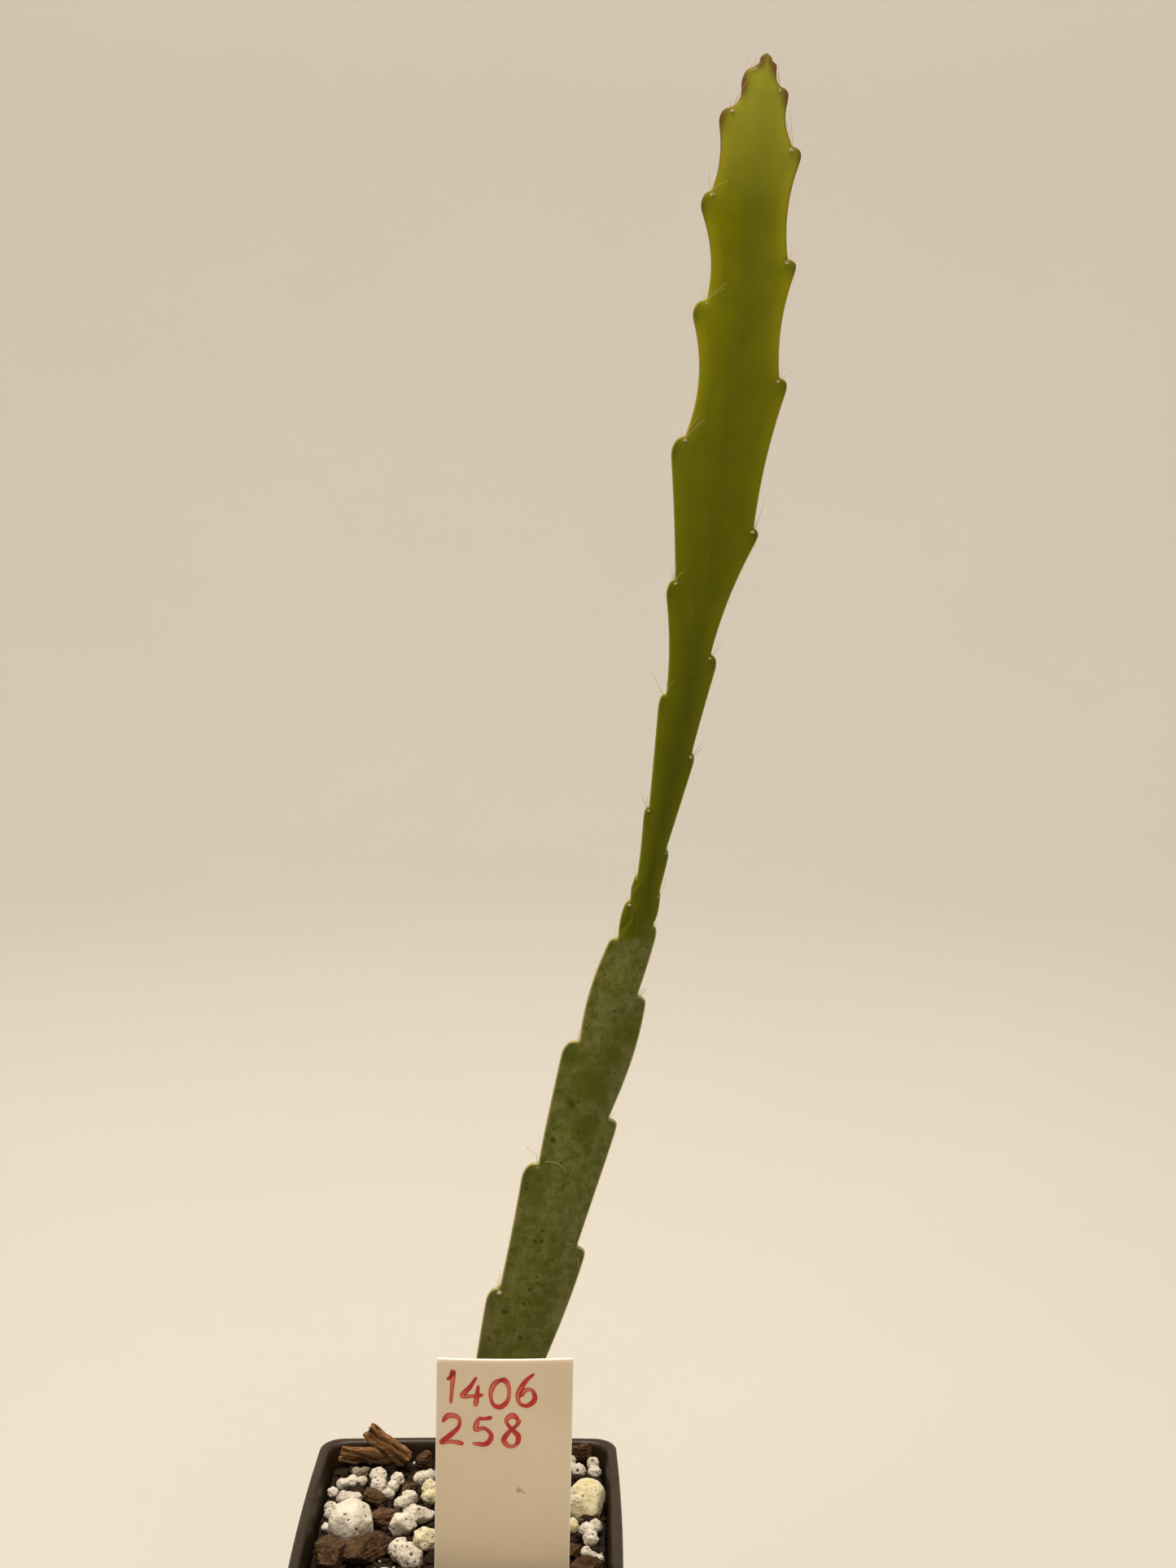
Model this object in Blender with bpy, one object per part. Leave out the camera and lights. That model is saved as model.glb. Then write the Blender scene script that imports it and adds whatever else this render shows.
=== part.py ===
"""An orchid cactus cutting in a square pot, with its mix, its label and loose perlite and bark on top."""

import math
import random

import bmesh
import bpy
from mathutils import Matrix, Vector, noise

MM = 0.001
GAP = 0.3

POT_HEIGHT = 60.0
POT_FLOOR = 1.2
RIM_HALF = 32.0
RIM_CORNER = 4.6
COLLAR_HEIGHT = 6.2
BASE_HALF = 22.0
BASE_CORNER = 3.8
WALL = 0.9
INNER_TOP_HALF = 29.9
INNER_BASE_HALF = 21.1
SIDE_BOW = 0.5
DRAIN_OFFSET = 12.0
DRAIN_RADIUS = 3.5
DRAIN_SIDES = 16
ARC_STEPS = 5
SIDE_POINTS = (-0.5, 0.0, 0.5)

MIX_TOP = 55.4
MIX_BOTTOM = 1.6
MIX_CELLS = 30
MIX_CLEAR = 0.4
MIX_HEAP = 0.5
# The mix's rough top, as waves: how close set and how high.
MIX_WAVES = ((0.31, 0.38), (0.83, 0.28))
MIX_SHIFT = Vector((11.0, 5.0, 2.0))
SEAT = 0.3
SEAT_SMALL = 0.6
CRUMBS = 32
HOLE_HALF_WIDTH = 6.1
HOLE_HALF_DEPTH = 3.1
HOLE_SIDES = 20
HOLE_DEPTH_BELOW = 1.6

# Points of the stem's middle line, from the buried foot to the tip: x, y, z.
CENTRE_LINE = (
    (-4.2, 0.0, 34.0),
    (0.7, 0.0, 54.0),
    (10.3, -0.6, 93.4),
    (19.5, -1.2, 128.0),
    (29.8, -1.2, 163.4),
    (37.0, -0.6, 194.0),
    (43.2, 0.4, 228.0),
    (48.9, 1.2, 264.8),
    (53.0, 1.4, 300.0),
    (56.4, 0.8, 341.7),
)
# One row for each scallop, going up: where its spine cushion sits along the stem, the half width
# there, the half width halfway to the next crest, and then the next crest's place and half width.
LEFT_TEETH = (
    (21.0, 4.6, 5.6, 46.2, 7.4),
    (48.5, 5.8, 7.1, 72.9, 8.2),
    (74.8, 6.2, 6.9, 98.8, 8.0),
    (101.2, 5.6, 6.7, 124.5, 7.6),
    (127.0, 5.0, 5.7, 147.8, 4.6),
    (148.8, 2.9, 3.3, 154.2, 3.4),
    (156.4, 2.5, 2.4, 158.9, 2.7),
    (161.6, 2.1, 2.6, 174.1, 3.3),
    (175.0, 2.6, 3.5, 195.5, 4.4),
    (196.8, 3.3, 4.4, 216.3, 6.6),
    (218.3, 5.3, 7.4, 242.2, 9.7),
    (244.8, 7.6, 6.4, 267.9, 8.9),
    (270.1, 6.6, 6.7, 287.4, 9.4),
    (289.6, 7.6, 6.7, 302.6, 7.5),
    (304.4, 5.4, 3.9, 308.8, 4.1),
    (311.8, 1.8, 1.5, 313.8, 0.9),
)
RIGHT_TEETH = (
    (21.0, 4.6, 4.7, 29.0, 5.6),
    (30.2, 4.4, 5.6, 53.6, 7.3),
    (54.9, 5.4, 7.5, 85.6, 8.5),
    (86.5, 6.4, 7.0, 112.5, 7.3),
    (113.4, 5.0, 6.0, 137.7, 5.6),
    (138.7, 3.5, 3.9, 151.5, 4.1),
    (152.7, 3.0, 3.4, 158.4, 3.2),
    (159.2, 2.8, 2.9, 166.5, 3.0),
    (167.6, 2.3, 3.2, 185.7, 4.2),
    (186.5, 3.5, 4.2, 204.2, 5.1),
    (205.5, 3.7, 5.4, 229.1, 8.9),
    (229.9, 7.8, 8.2, 256.7, 10.2),
    (257.6, 8.5, 7.6, 277.9, 9.1),
    (278.6, 7.4, 6.5, 297.4, 8.1),
    (298.4, 6.3, 4.6, 307.6, 4.8),
    (308.5, 3.1, 1.8, 312.5, 2.2),
)
STALK_END = 21.0
TIP_HALF_WIDTH = 0.7
# Where the shelf above each crest gets its rings, as shares of its length.
SHELF_SHARES = (0.0, 0.65, 0.93)
# Along the stem: half thickness at the midrib, half thickness at the margins.
THICKNESS = (
    (0.0, 1.9, 1.1),
    (21.0, 2.3, 0.9),
    (60.0, 2.5, 0.6),
    (110.0, 2.3, 0.55),
    (146.0, 2.0, 0.5),
    (156.0, 2.0, 0.55),
    (185.0, 2.0, 0.5),
    (235.0, 1.9, 0.45),
    (290.0, 1.5, 0.42),
    (308.0, 1.1, 0.4),
    (314.4, 0.6, 0.38),
)
# Along the stem: how far the left and the right wing bend back.
WING_BEND = (
    (0.0, 0.0, 0.0),
    (30.0, 0.0, 0.0),
    (75.0, -0.9, 0.6),
    (112.0, 0.2, 2.0),
    (135.0, 0.6, 0.9),
    (155.0, 0.0, 0.0),
    (200.0, 0.3, -0.2),
    (243.0, -0.8, 1.0),
    (280.0, 0.9, -0.7),
    (306.0, 0.2, 0.2),
    (314.4, 0.0, 0.0),
)
# The third rib at the foot of the new growth: place along the stem, how far it stands out behind.
BACK_RIB = ((144.0, 0.0), (149.0, 2.2), (152.0, 1.5), (160.0, 2.3), (164.0, 1.5), (178.0, 1.2), (196.0, 0.0))
BACK_RIB_LEAN = 0.9
BACK_RIB_REACH = 0.5
BACK_RIB_PINCH = 0.18
SECTION = (-1.0, -0.62, -0.22, 0.22, 0.62, 1.0)
ROW_STEP = 6.0
CLOSEST_ROWS = 0.3
LINE_STEPS = 40
MIDRIB_SHARE = 0.6
MIDRIB_SPREAD = 0.35

CUSHION = 0.5
BRISTLE_SEED = 7
BRISTLE_BASE = 0.13
BRISTLE_TIP = 0.05

LABEL_WIDTH = 25.5
LABEL_THICKNESS = 0.6
LABEL_TOP = 104.6
LABEL_FOOT = 37.5
LABEL_SHOULDER = 50.0
LABEL_TOP_X = 9.75
LABEL_SOIL_Y = -24.7
LABEL_LEAN = 0.015
LABEL_ROLL = 0.0165
LABEL_BOW = 0.57
LABEL_COLUMNS = 8
LABEL_FOOT_SHARE = 0.22
LABEL_TOP_TRIM = 0.35

# Perlite pieces seen in the photograph: the lobes of each, as x, y, height and radius.
PERLITE_SEEN = (
    ((-22.3, 0.2, 58.0, 4.5),),
    ((-26.0, 18.8, 56.2, 1.5), (-24.0, 19.9, 56.2, 1.5), (-22.2, 20.1, 56.1, 1.3)),
    ((-18.4, 17.6, 56.5, 1.9), (-18.6, 19.6, 57.7, 1.9)),
    ((-16.2, 14.8, 56.2, 1.4), (-15.3, 16.1, 57.1, 1.4), (-14.4, 17.5, 58.1, 1.5)),
    ((-25.2, 12.9, 56.3, 1.6), (-23.9, 12.8, 56.3, 1.5), (-22.7, 12.8, 56.3, 1.5)),
    ((-27.7, 15.6, 56.1, 1.2),),
    ((-27.4, 9.2, 56.2, 1.5), (-27.5, 7.2, 56.0, 1.2)),
    ((-11.5, 12.3, 56.6, 1.9), (-12.9, 10.5, 56.4, 1.8)),
    ((-11.9, 0.9, 57.0, 2.9), (-9.9, 4.3, 57.1, 2.6), (-7.5, 5.6, 56.8, 1.9)),
    ((-6.9, -4.5, 57.1, 2.7),),
    ((-7.1, 12.9, 56.6, 2.0), (-7.4, 14.6, 57.7, 1.9)),
    ((-9.5, 20.7, 56.4, 1.8), (-8.0, 22.0, 56.3, 1.6)),
    ((-11.8, -7.8, 56.8, 2.5), (-10.4, -9.5, 56.9, 2.6), (-9.1, -11.2, 56.8, 2.5)),
    ((25.4, 10.2, 58.2, 3.7), (25.2, 8.3, 57.4, 3.4)),
    ((27.2, 23.8, 56.3, 1.6), (26.9, 25.4, 57.4, 1.4)),
    ((23.7, 24.4, 56.3, 1.7), (22.1, 25.4, 56.3, 1.6), (22.4, 26.7, 57.5, 0.9)),
    ((22.2, 1.6, 56.5, 1.8),),
    ((25.6, -0.2, 56.5, 1.9), (26.2, -2.9, 56.3, 1.7), (27.1, 1.9, 56.3, 1.5)),
    ((25.3, -7.5, 56.0, 1.2), (26.6, -8.7, 55.9, 1.0), (27.6, -9.9, 56.0, 1.1)),
    ((-23.6, 23.8, 56.1, 1.3), (-21.9, 24.1, 56.1, 1.3)),
)
# Bark pieces seen: x, y, height, half length, half width, half height, turn in degrees, dip in degrees.
BARK_SEEN = (
    (-18.6, 12.0, 57.0, 2.9, 1.5, 1.3, -40.0, 15.0),
    (-25.0, -9.9, 57.2, 4.2, 3.1, 2.7, 80.0, 6.0),
    (-18.1, -7.9, 57.2, 5.0, 2.9, 2.4, 45.0, 8.0),
    (-9.5, 26.6, 57.3, 1.8, 1.3, 1.9, 10.0, 0.0),
    (24.4, 27.6, 59.0, 1.8, 1.0, 1.7, 5.0, 10.0),
    (22.6, -6.7, 56.0, 1.7, 1.2, 1.1, 70.0, 0.0),
    (24.9, -14.2, 56.6, 3.4, 2.4, 1.6, 15.0, -8.0),
    (-12.1, 16.3, 56.4, 2.7, 0.9, 1.0, 68.0, 0.0),
    (-16.2, 5.1, 56.3, 3.0, 2.0, 1.5, 25.0, 5.0),
)
# Bark strips seen: one end, the other end, width and thickness.
STRIPS_SEEN = (
    ((-27.4, 27.5, 58.7), (-13.2, 27.5, 57.1), 2.8, 1.8),
    ((-21.4, 25.4, 64.9), (-12.9, 25.4, 58.3), 3.3, 1.8),
)
# The strip's cross-section, as shares of its width and thickness.
STRIP_OUTLINE = (
    (0.5, 0.0),
    (0.36, 0.36),
    (0.06, 0.42),
    (-0.3, 0.5),
    (-0.5, 0.1),
    (-0.42, -0.36),
    (0.0, -0.5),
    (0.4, -0.4),
)
STRIP_STEPS = 8
PERLITE_MORE = 11
BARK_MORE = 5
FILL_SEED = 41
FILL_TRIES = 6000
FILL_REACH = 26.0
FILL_ROOM = 0.45
CRUMB_REACH = 27.0
PERLITE_SEED = 100
STRIP_SEED = 80
BARK_SEED = 300
CRUMB_SEED = 500
# A rough ball: its mean reach, its dents as scale and depth, and its flat faces.
BALL_REACH = 0.94
DENTS = ((1.7, 0.08), (4.1, 0.04))
FLAT_FACES = 7
FLAT_NEAREST = 0.80
FLAT_FARTHEST = 0.93
LARGE_GRAIN = 3.0
STEM_FOOT = (0.9, 0.0, 6.6)

POT_COLOUR = (0.020, 0.017, 0.014)
MIX_COLOUR = (0.060, 0.040, 0.027)
STEM_COLOUR = (0.120, 0.150, 0.020)
LABEL_COLOUR = (0.80, 0.76, 0.68)
PERLITE_COLOUR = (0.78, 0.74, 0.66)
BARK_COLOUR = (0.110, 0.060, 0.035)


def clear_scene():
    for obj in list(bpy.data.objects):
        bpy.data.objects.remove(obj, do_unlink=True)


def material(name, colour, roughness):
    made = bpy.data.materials.new(name)
    made.use_nodes = True
    shader = made.node_tree.nodes["Principled BSDF"]
    shader.inputs["Base Color"].default_value = (*colour, 1.0)
    shader.inputs["Roughness"].default_value = roughness
    return made


def new_object(name, points, faces, look, smooth=True):
    mesh = bpy.data.meshes.new(name)
    mesh.from_pydata([Vector(p) * MM for p in points], [], faces)
    mesh.update()
    work = bmesh.new()
    work.from_mesh(mesh)
    bmesh.ops.recalc_face_normals(work, faces=work.faces)
    work.to_mesh(mesh)
    work.free()
    mesh.polygons.foreach_set("use_smooth", [smooth] * len(mesh.polygons))
    mesh.materials.append(look)
    obj = bpy.data.objects.new(name, mesh)
    bpy.context.scene.collection.objects.link(obj)
    return obj


def loft(rings):
    """Points and faces of a skin through rings of equal length, with a flat cap on each end."""
    count = len(rings[0])
    points = [p for ring in rings for p in ring]
    faces = []
    for row in range(len(rings) - 1):
        for i in range(count):
            j = (i + 1) % count
            low = row * count
            high = low + count
            faces.append((low + i, low + j, high + j, high + i))
    faces.append(tuple(range(count))[::-1])
    last = (len(rings) - 1) * count
    faces.append(tuple(range(last, last + count)))
    return points, faces


def combine(obj, others, operation, solver):
    """Joins other objects to this one, or cuts them from it, and removes them."""
    group = bpy.data.collections.new("helpers")
    for other in others:
        for home in list(other.users_collection):
            home.objects.unlink(other)
        group.objects.link(other)
    bpy.context.scene.collection.children.link(group)
    change = obj.modifiers.new("combine", "BOOLEAN")
    change.operation = operation
    change.operand_type = "COLLECTION"
    change.collection = group
    change.solver = solver
    graph = bpy.context.evaluated_depsgraph_get()
    result = bpy.data.meshes.new_from_object(obj.evaluated_get(graph))
    obj.modifiers.clear()
    smooth = obj.data.polygons[0].use_smooth
    look = obj.data.materials[0]
    obj.data = result
    obj.data.materials.clear()
    obj.data.materials.append(look)
    obj.data.polygons.foreach_set("use_smooth", [smooth] * len(result.polygons))
    obj.data.polygons.foreach_set("material_index", [0] * len(result.polygons))
    for other in others:
        bpy.data.objects.remove(other, do_unlink=True)
    bpy.data.collections.remove(group)


def between(table, at, column=1):
    """The value of one column of a table at this place, eased from row to row."""
    if at <= table[0][0]:
        return table[0][column]
    for low, high in zip(table, table[1:]):
        if at <= high[0]:
            share = (at - low[0]) / (high[0] - low[0])
            share = share * share * (3.0 - 2.0 * share)
            return low[column] + (high[column] - low[column]) * share
    return table[-1][column]


def bowed_square(half, corner, bow, height):
    """Points round a square with round corners, whose sides bow out."""
    flat = half - corner
    ring = []
    for turn in range(4):
        spin = Matrix.Rotation(turn * math.pi / 2.0, 2)
        side = [(half + bow * (1.0 - t * t), t * flat) for t in SIDE_POINTS]
        for step in range(ARC_STEPS + 1):
            angle = step / ARC_STEPS * math.pi / 2.0
            side.append((flat + corner * math.cos(angle), flat + corner * math.sin(angle)))
        for point in side:
            x, y = spin @ Vector(point)
            ring.append((x, y, height))
    return ring


def inner_half(height):
    """Half width of the pot's inside at this height."""
    share = (height - POT_FLOOR) / (POT_HEIGHT - POT_FLOOR)
    return INNER_BASE_HALF + (INNER_TOP_HALF - INNER_BASE_HALF) * share


def corner_at(height):
    return BASE_CORNER + (RIM_CORNER - BASE_CORNER) * height / POT_HEIGHT


def bow_at(height):
    return SIDE_BOW * height / POT_HEIGHT


def oval(x, y, half_width, half_depth, height, sides):
    angles = [2.0 * math.pi * k / sides for k in range(sides)]
    return [(x + half_width * math.cos(a), y + half_depth * math.sin(a), height) for a in angles]


def pot(look):
    """The thin wall, its collar and rolled rim, and the drain holes in the floor."""
    collar_foot = POT_HEIGHT - COLLAR_HEIGHT
    outer_foot = inner_half(collar_foot) + WALL
    profile = [
        (BASE_HALF - 0.7, 0.0),
        (BASE_HALF, 0.7),
        (inner_half(20.0) + WALL, 20.0),
        (inner_half(38.0) + WALL, 38.0),
        (outer_foot, collar_foot),
        (RIM_HALF - 1.1, collar_foot + 0.2),
        (RIM_HALF - 0.5, collar_foot + 0.8),
        (RIM_HALF, POT_HEIGHT - 1.4),
        (RIM_HALF - 0.25, POT_HEIGHT - 0.5),
        (RIM_HALF - 0.9, POT_HEIGHT),
        (RIM_HALF - 1.8, POT_HEIGHT),
        (INNER_TOP_HALF + 0.25, POT_HEIGHT - 0.4),
        (inner_half(POT_HEIGHT - 1.3), POT_HEIGHT - 1.3),
        (inner_half(38.0), 38.0),
        (inner_half(20.0), 20.0),
        (INNER_BASE_HALF, POT_FLOOR + 0.8),
        (INNER_BASE_HALF - 0.8, POT_FLOOR),
    ]
    rings = [bowed_square(half, corner_at(z), bow_at(z), z) for half, z in profile]
    body = new_object("pot", *loft(rings), look)
    drains = []
    for x in (-DRAIN_OFFSET, DRAIN_OFFSET):
        for y in (-DRAIN_OFFSET, DRAIN_OFFSET):
            tube = [oval(x, y, DRAIN_RADIUS, DRAIN_RADIUS, z, DRAIN_SIDES) for z in (-1.0, POT_FLOOR + 1.0)]
            drains.append(new_object("drain", *loft(tube), look))
    combine(body, drains, "DIFFERENCE", "EXACT")
    return body


def spline_points():
    """The middle line, close set, with the length run so far at each point."""
    knots = [Vector(p) for p in CENTRE_LINE]
    knots = [2.0 * knots[0] - knots[1]] + knots + [2.0 * knots[-1] - knots[-2]]
    points = []
    for a, b, c, d in zip(knots, knots[1:], knots[2:], knots[3:]):
        for step in range(LINE_STEPS):
            t = step / LINE_STEPS
            bend = (2.0 * a - 5.0 * b + 4.0 * c - d) * t * t + (3.0 * b - a - 3.0 * c + d) * t ** 3
            points.append(0.5 * (2.0 * b + (c - a) * t + bend))
    points.append(knots[-2])
    lengths = [0.0]
    for a, b in zip(points, points[1:]):
        lengths.append(lengths[-1] + (b - a).length)
    return points, lengths


LINE, LENGTHS = spline_points()
STEM_LENGTH = LENGTHS[-1]


def line_at(s):
    """Point on the middle line and its direction, at this length from the foot."""
    k = 1
    while k < len(LENGTHS) - 1 and LENGTHS[k] < s:
        k += 1
    direction = (LINE[k] - LINE[k - 1]).normalized()
    return LINE[k - 1] + direction * (s - LENGTHS[k - 1]), direction


def frame_at(s):
    """Point on the middle line with the directions across and through the stem."""
    point, along = line_at(s)
    across = Vector((along.z, 0.0, -along.x)).normalized()
    return point, across, across.cross(along).normalized() * -1.0, along


def margin(teeth, s):
    """Half width of one side at this length: each scallop swells to a crest and rounds in to a notch."""
    if s <= teeth[0][0]:
        return teeth[0][1]
    for k, (start, notch, middle, crest, full) in enumerate(teeth):
        if s <= crest:
            t = (s - start) / (crest - start)
            bend = 2.0 * (notch + full - 2.0 * middle)
            return notch + (full - notch - bend) * t + bend * t * t
        last = k + 1 == len(teeth)
        end, inner = (STEM_LENGTH, TIP_HALF_WIDTH) if last else teeth[k + 1][:2]
        if s <= end:
            t = (s - crest) / (end - crest)
            return inner + (full - inner) * math.sqrt(max(0.0, 1.0 - t * t))
    return teeth[-1][1]


def stem_section(s):
    """Ring of points round the stem at this length."""
    point, across, back, _ = frame_at(s)
    left = margin(LEFT_TEETH, s)
    right = margin(RIGHT_TEETH, s)
    middle = between(THICKNESS, s, 1)
    edge = between(THICKNESS, s, 2)
    rib = between(BACK_RIB, s)
    front_side = []
    back_side = []
    for q in SECTION:
        width = left if q < 0.0 else right
        bend = between(WING_BEND, s, 1 if q < 0.0 else 2) * q * q
        midrib = math.exp(-((q / MIDRIB_SPREAD) ** 2))
        swell = MIDRIB_SHARE * midrib + (1.0 - MIDRIB_SHARE) * (1.0 - q * q)
        half = edge + (middle - edge) * swell
        stand = rib if abs(q) < BACK_RIB_REACH else 0.0
        far_place = q * width * (1.0 - BACK_RIB_PINCH * stand) - BACK_RIB_LEAN * stand
        front_side.append(point + across * (q * width) + back * (bend - half))
        back_side.append(point + across * far_place + back * (bend + half + stand))
    return front_side + back_side[::-1]


def stem_stations():
    """Lengths at which the stem gets a ring: on each crest, shoulder and notch, and between them."""
    wanted = {0.0, STALK_END * 0.5, STALK_END, STEM_LENGTH}
    for teeth in (LEFT_TEETH, RIGHT_TEETH):
        for k, (start, _, _, crest, _) in enumerate(teeth):
            end = teeth[k + 1][0] if k + 1 < len(teeth) else STEM_LENGTH
            wanted.add(start)
            wanted |= {crest + share * (end - crest) for share in SHELF_SHARES}
    found = []
    for s in sorted(wanted):
        if not found or s - found[-1] > CLOSEST_ROWS:
            found.append(s)
    found[-1] = STEM_LENGTH
    stations = []
    for a, b in zip(found, found[1:]):
        parts = max(1, math.ceil((b - a) / ROW_STEP))
        stations += [a + (b - a) * k / parts for k in range(parts)]
    return stations + [STEM_LENGTH]


def taper(start, end, base, tip, name, look):
    """A three-sided bristle."""
    along = (end - start).normalized()
    side = along.orthogonal().normalized()
    other = along.cross(side)
    rings = []
    for centre, radius in ((start, base), (end, tip)):
        ways = [(math.cos(a), math.sin(a)) for a in (0.0, 2.0 * math.pi / 3.0, 4.0 * math.pi / 3.0)]
        rings.append([centre + (side * a + other * b) * radius for a, b in ways])
    return new_object(name, *loft(rings), look)


def cushion(centre, look):
    """A small felt cushion with eight faces."""
    ways = ((1, 0, 0), (0, 1, 0), (-1, 0, 0), (0, -1, 0), (0, 0, 1), (0, 0, -1))
    points = [centre + Vector(way) * CUSHION for way in ways]
    faces = [(0, 1, 4), (1, 2, 4), (2, 3, 4), (3, 0, 4), (1, 0, 5), (2, 1, 5), (3, 2, 5), (0, 3, 5)]
    return new_object("cushion", points, faces, look)


def areoles(look):
    """The felt cushion in every notch, with one or two hair-thin bristles."""
    draw = random.Random(BRISTLE_SEED)
    made = []
    for sign, teeth in ((-1.0, LEFT_TEETH), (1.0, RIGHT_TEETH)):
        bend_column = 1 if sign < 0.0 else 2
        for place, notch, *_ in teeth[1:]:
            point, across, back, along = frame_at(place)
            centre = point + across * (sign * (notch - 0.1)) + back * between(WING_BEND, place, bend_column)
            made.append(cushion(centre, look))
            for _ in range(1 if notch < 3.2 else 2):
                out = across * (sign * draw.uniform(0.05, 0.75)) + along * draw.uniform(0.7, 1.1)
                heading = (out + back * draw.uniform(-0.6, 0.25)).normalized()
                tip = centre + heading * draw.uniform(2.6, 5.6)
                made.append(taper(centre - heading * 0.15, tip, BRISTLE_BASE, BRISTLE_TIP, "bristle", look))
    return made


def stem(look):
    rings = [stem_section(s) for s in stem_stations()]
    body = new_object("stem", *loft(rings), look)
    combine(body, areoles(look), "UNION", "MANIFOLD")
    return body


def stem_hole(look):
    """The plain hole that the buried stalk stands in."""
    foot_x, _, foot_z = CENTRE_LINE[0]
    next_x, _, next_z = CENTRE_LINE[1]
    slope = (next_x - foot_x) / (next_z - foot_z)
    rings = []
    for z in (foot_z - HOLE_DEPTH_BELOW, POT_HEIGHT):
        middle = foot_x + slope * (z - foot_z)
        rings.append(oval(middle, 0.0, HOLE_HALF_WIDTH, HOLE_HALF_DEPTH, z, HOLE_SIDES))
    return new_object("stem_hole", *loft(rings), look)


def label_body(name, grow, look):
    """The label, or with some growth the slot that it stands in."""
    half = LABEL_WIDTH / 2.0 + grow
    thick = LABEL_THICKNESS / 2.0 + grow
    rings = []
    for z in (LABEL_FOOT - grow, LABEL_SHOULDER, LABEL_TOP - 1.0, LABEL_TOP + grow):
        wide = half * (LABEL_FOOT_SHARE if z < LABEL_FOOT + 1.0 else 1.0)
        wide -= LABEL_TOP_TRIM if z > LABEL_TOP - 0.5 else 0.0
        middle = LABEL_TOP_X - (LABEL_TOP - z) * LABEL_ROLL
        plane = LABEL_SOIL_Y + (z - MIX_TOP) * LABEL_LEAN
        places = [-1.0 + 2.0 * k / LABEL_COLUMNS for k in range(LABEL_COLUMNS + 1)]
        curve = [plane + LABEL_BOW * ((t * wide / (LABEL_WIDTH / 2.0)) ** 2 - 0.5) for t in places]
        front = [(middle + t * wide, y - thick, z) for t, y in zip(places, curve)]
        back = [(middle + t * wide, y + thick, z) for t, y in zip(places, curve)]
        rings.append(front + back[::-1])
    return new_object(name, *loft(rings), look)


def flat_faces(seed):
    """Directions and distances of the flat faces that a popped or broken grain has above and round it."""
    draw = random.Random(seed)
    found = []
    for _ in range(FLAT_FACES):
        way = Vector((draw.uniform(-1.0, 1.0), draw.uniform(-1.0, 1.0), draw.uniform(0.0, 1.0))).normalized()
        found.append((way, draw.uniform(FLAT_NEAREST, FLAT_FARTHEST)))
    return found


def rough_ball(name, centre, radii, turn, look, seed, detail=2):
    """A ball with dents and flat faces, which never reaches past its radii."""
    work = bmesh.new()
    bmesh.ops.create_icosphere(work, subdivisions=detail, radius=1.0)
    shift = Vector((seed * 3.17, seed * 1.31, -seed * 2.03))
    flats = flat_faces(seed)
    for vert in work.verts:
        d = vert.co.normalized()
        reach = BALL_REACH + sum(noise.noise(d * scale + shift) * depth for scale, depth in DENTS)
        for way, distance in flats:
            if d.dot(way) * reach > distance:
                reach = distance / d.dot(way)
        vert.co = d * reach
    size = Matrix.Diagonal((*radii, 1.0))
    bmesh.ops.transform(work, matrix=Matrix.Translation(centre) @ turn @ size, verts=work.verts)
    points = [v.co.copy() for v in work.verts]
    faces = [tuple(v.index for v in f.verts) for f in work.faces]
    work.free()
    return new_object(name, points, faces, look)


def perlite(index, lobes, look):
    """One popped piece of perlite: its lobes joined into one lump."""
    draw = random.Random(PERLITE_SEED + index)
    made = []
    for k, (x, y, z, radius) in enumerate(lobes):
        radii = (radius, radius * draw.uniform(0.92, 1.0), radius * draw.uniform(0.9, 1.0))
        turn = Matrix.Rotation(draw.uniform(0.0, 2.0 * math.pi), 4, "Z")
        name = f"perlite_{index:02d}" if k == 0 else "lobe"
        detail = 3 if radius > LARGE_GRAIN else 2
        made.append(rough_ball(name, Vector((x, y, z)), radii, turn, look, index * 5 + k, detail))
    if len(made) > 1:
        combine(made[0], made[1:], "UNION", "MANIFOLD")
    return made[0]


def bark(index, chip, look):
    """One broken chip of bark."""
    x, y, z, length, width, height, turn, dip = chip
    spin = Matrix.Rotation(math.radians(turn), 4, "Z") @ Matrix.Rotation(math.radians(dip), 4, "Y")
    radii = (length, width, height)
    return rough_ball(f"bark_{index:02d}", Vector((x, y, z)), radii, spin, look, BARK_SEED + index)


def strip(name, start, end, width, thick, look, seed):
    """A split, fibrous strip of bark."""
    start = Vector(start)
    end = Vector(end)
    along = (end - start).normalized()
    side = along.cross(Vector((0.0, 1.0, 0.0))).normalized()
    depth = side.cross(along)
    draw = random.Random(seed)
    rings = []
    for k in range(STRIP_STEPS + 1):
        swell = draw.uniform(0.72, 0.8) if k in (0, STRIP_STEPS) else draw.uniform(0.86, 1.0)
        slip = draw.uniform(-0.05, 0.05) * width
        centre = start + (end - start) * (k / STRIP_STEPS) + side * slip
        wide = width * swell
        deep = thick * swell
        rings.append([centre + side * (a * wide) + depth * (b * deep) for a, b in STRIP_OUTLINE])
    return new_object(name, *loft(rings), look)


def strip_balls(start, end, width):
    """Balls along a strip, for what must keep clear of it."""
    a = Vector(start)
    b = Vector(end)
    return [(*(a + (b - a) * k / 7.0), width * 0.56, 0.8) for k in range(8)]


def chip_balls(chip):
    """Balls along a chip, for what must keep clear of it and for the dent under it."""
    x, y, z, length, width, height, turn, dip = chip
    heading = Vector((math.cos(math.radians(turn)), math.sin(math.radians(turn)), 0.0))
    reach = max(0.0, length - width)
    ray = Vector((heading.x, heading.y, -math.sin(math.radians(dip)))) * reach
    centre = Vector((x, y, z))
    return [(*(centre + ray * t), width * 1.05, height / width) for t in (-1.0, 0.0, 1.0)]


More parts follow.
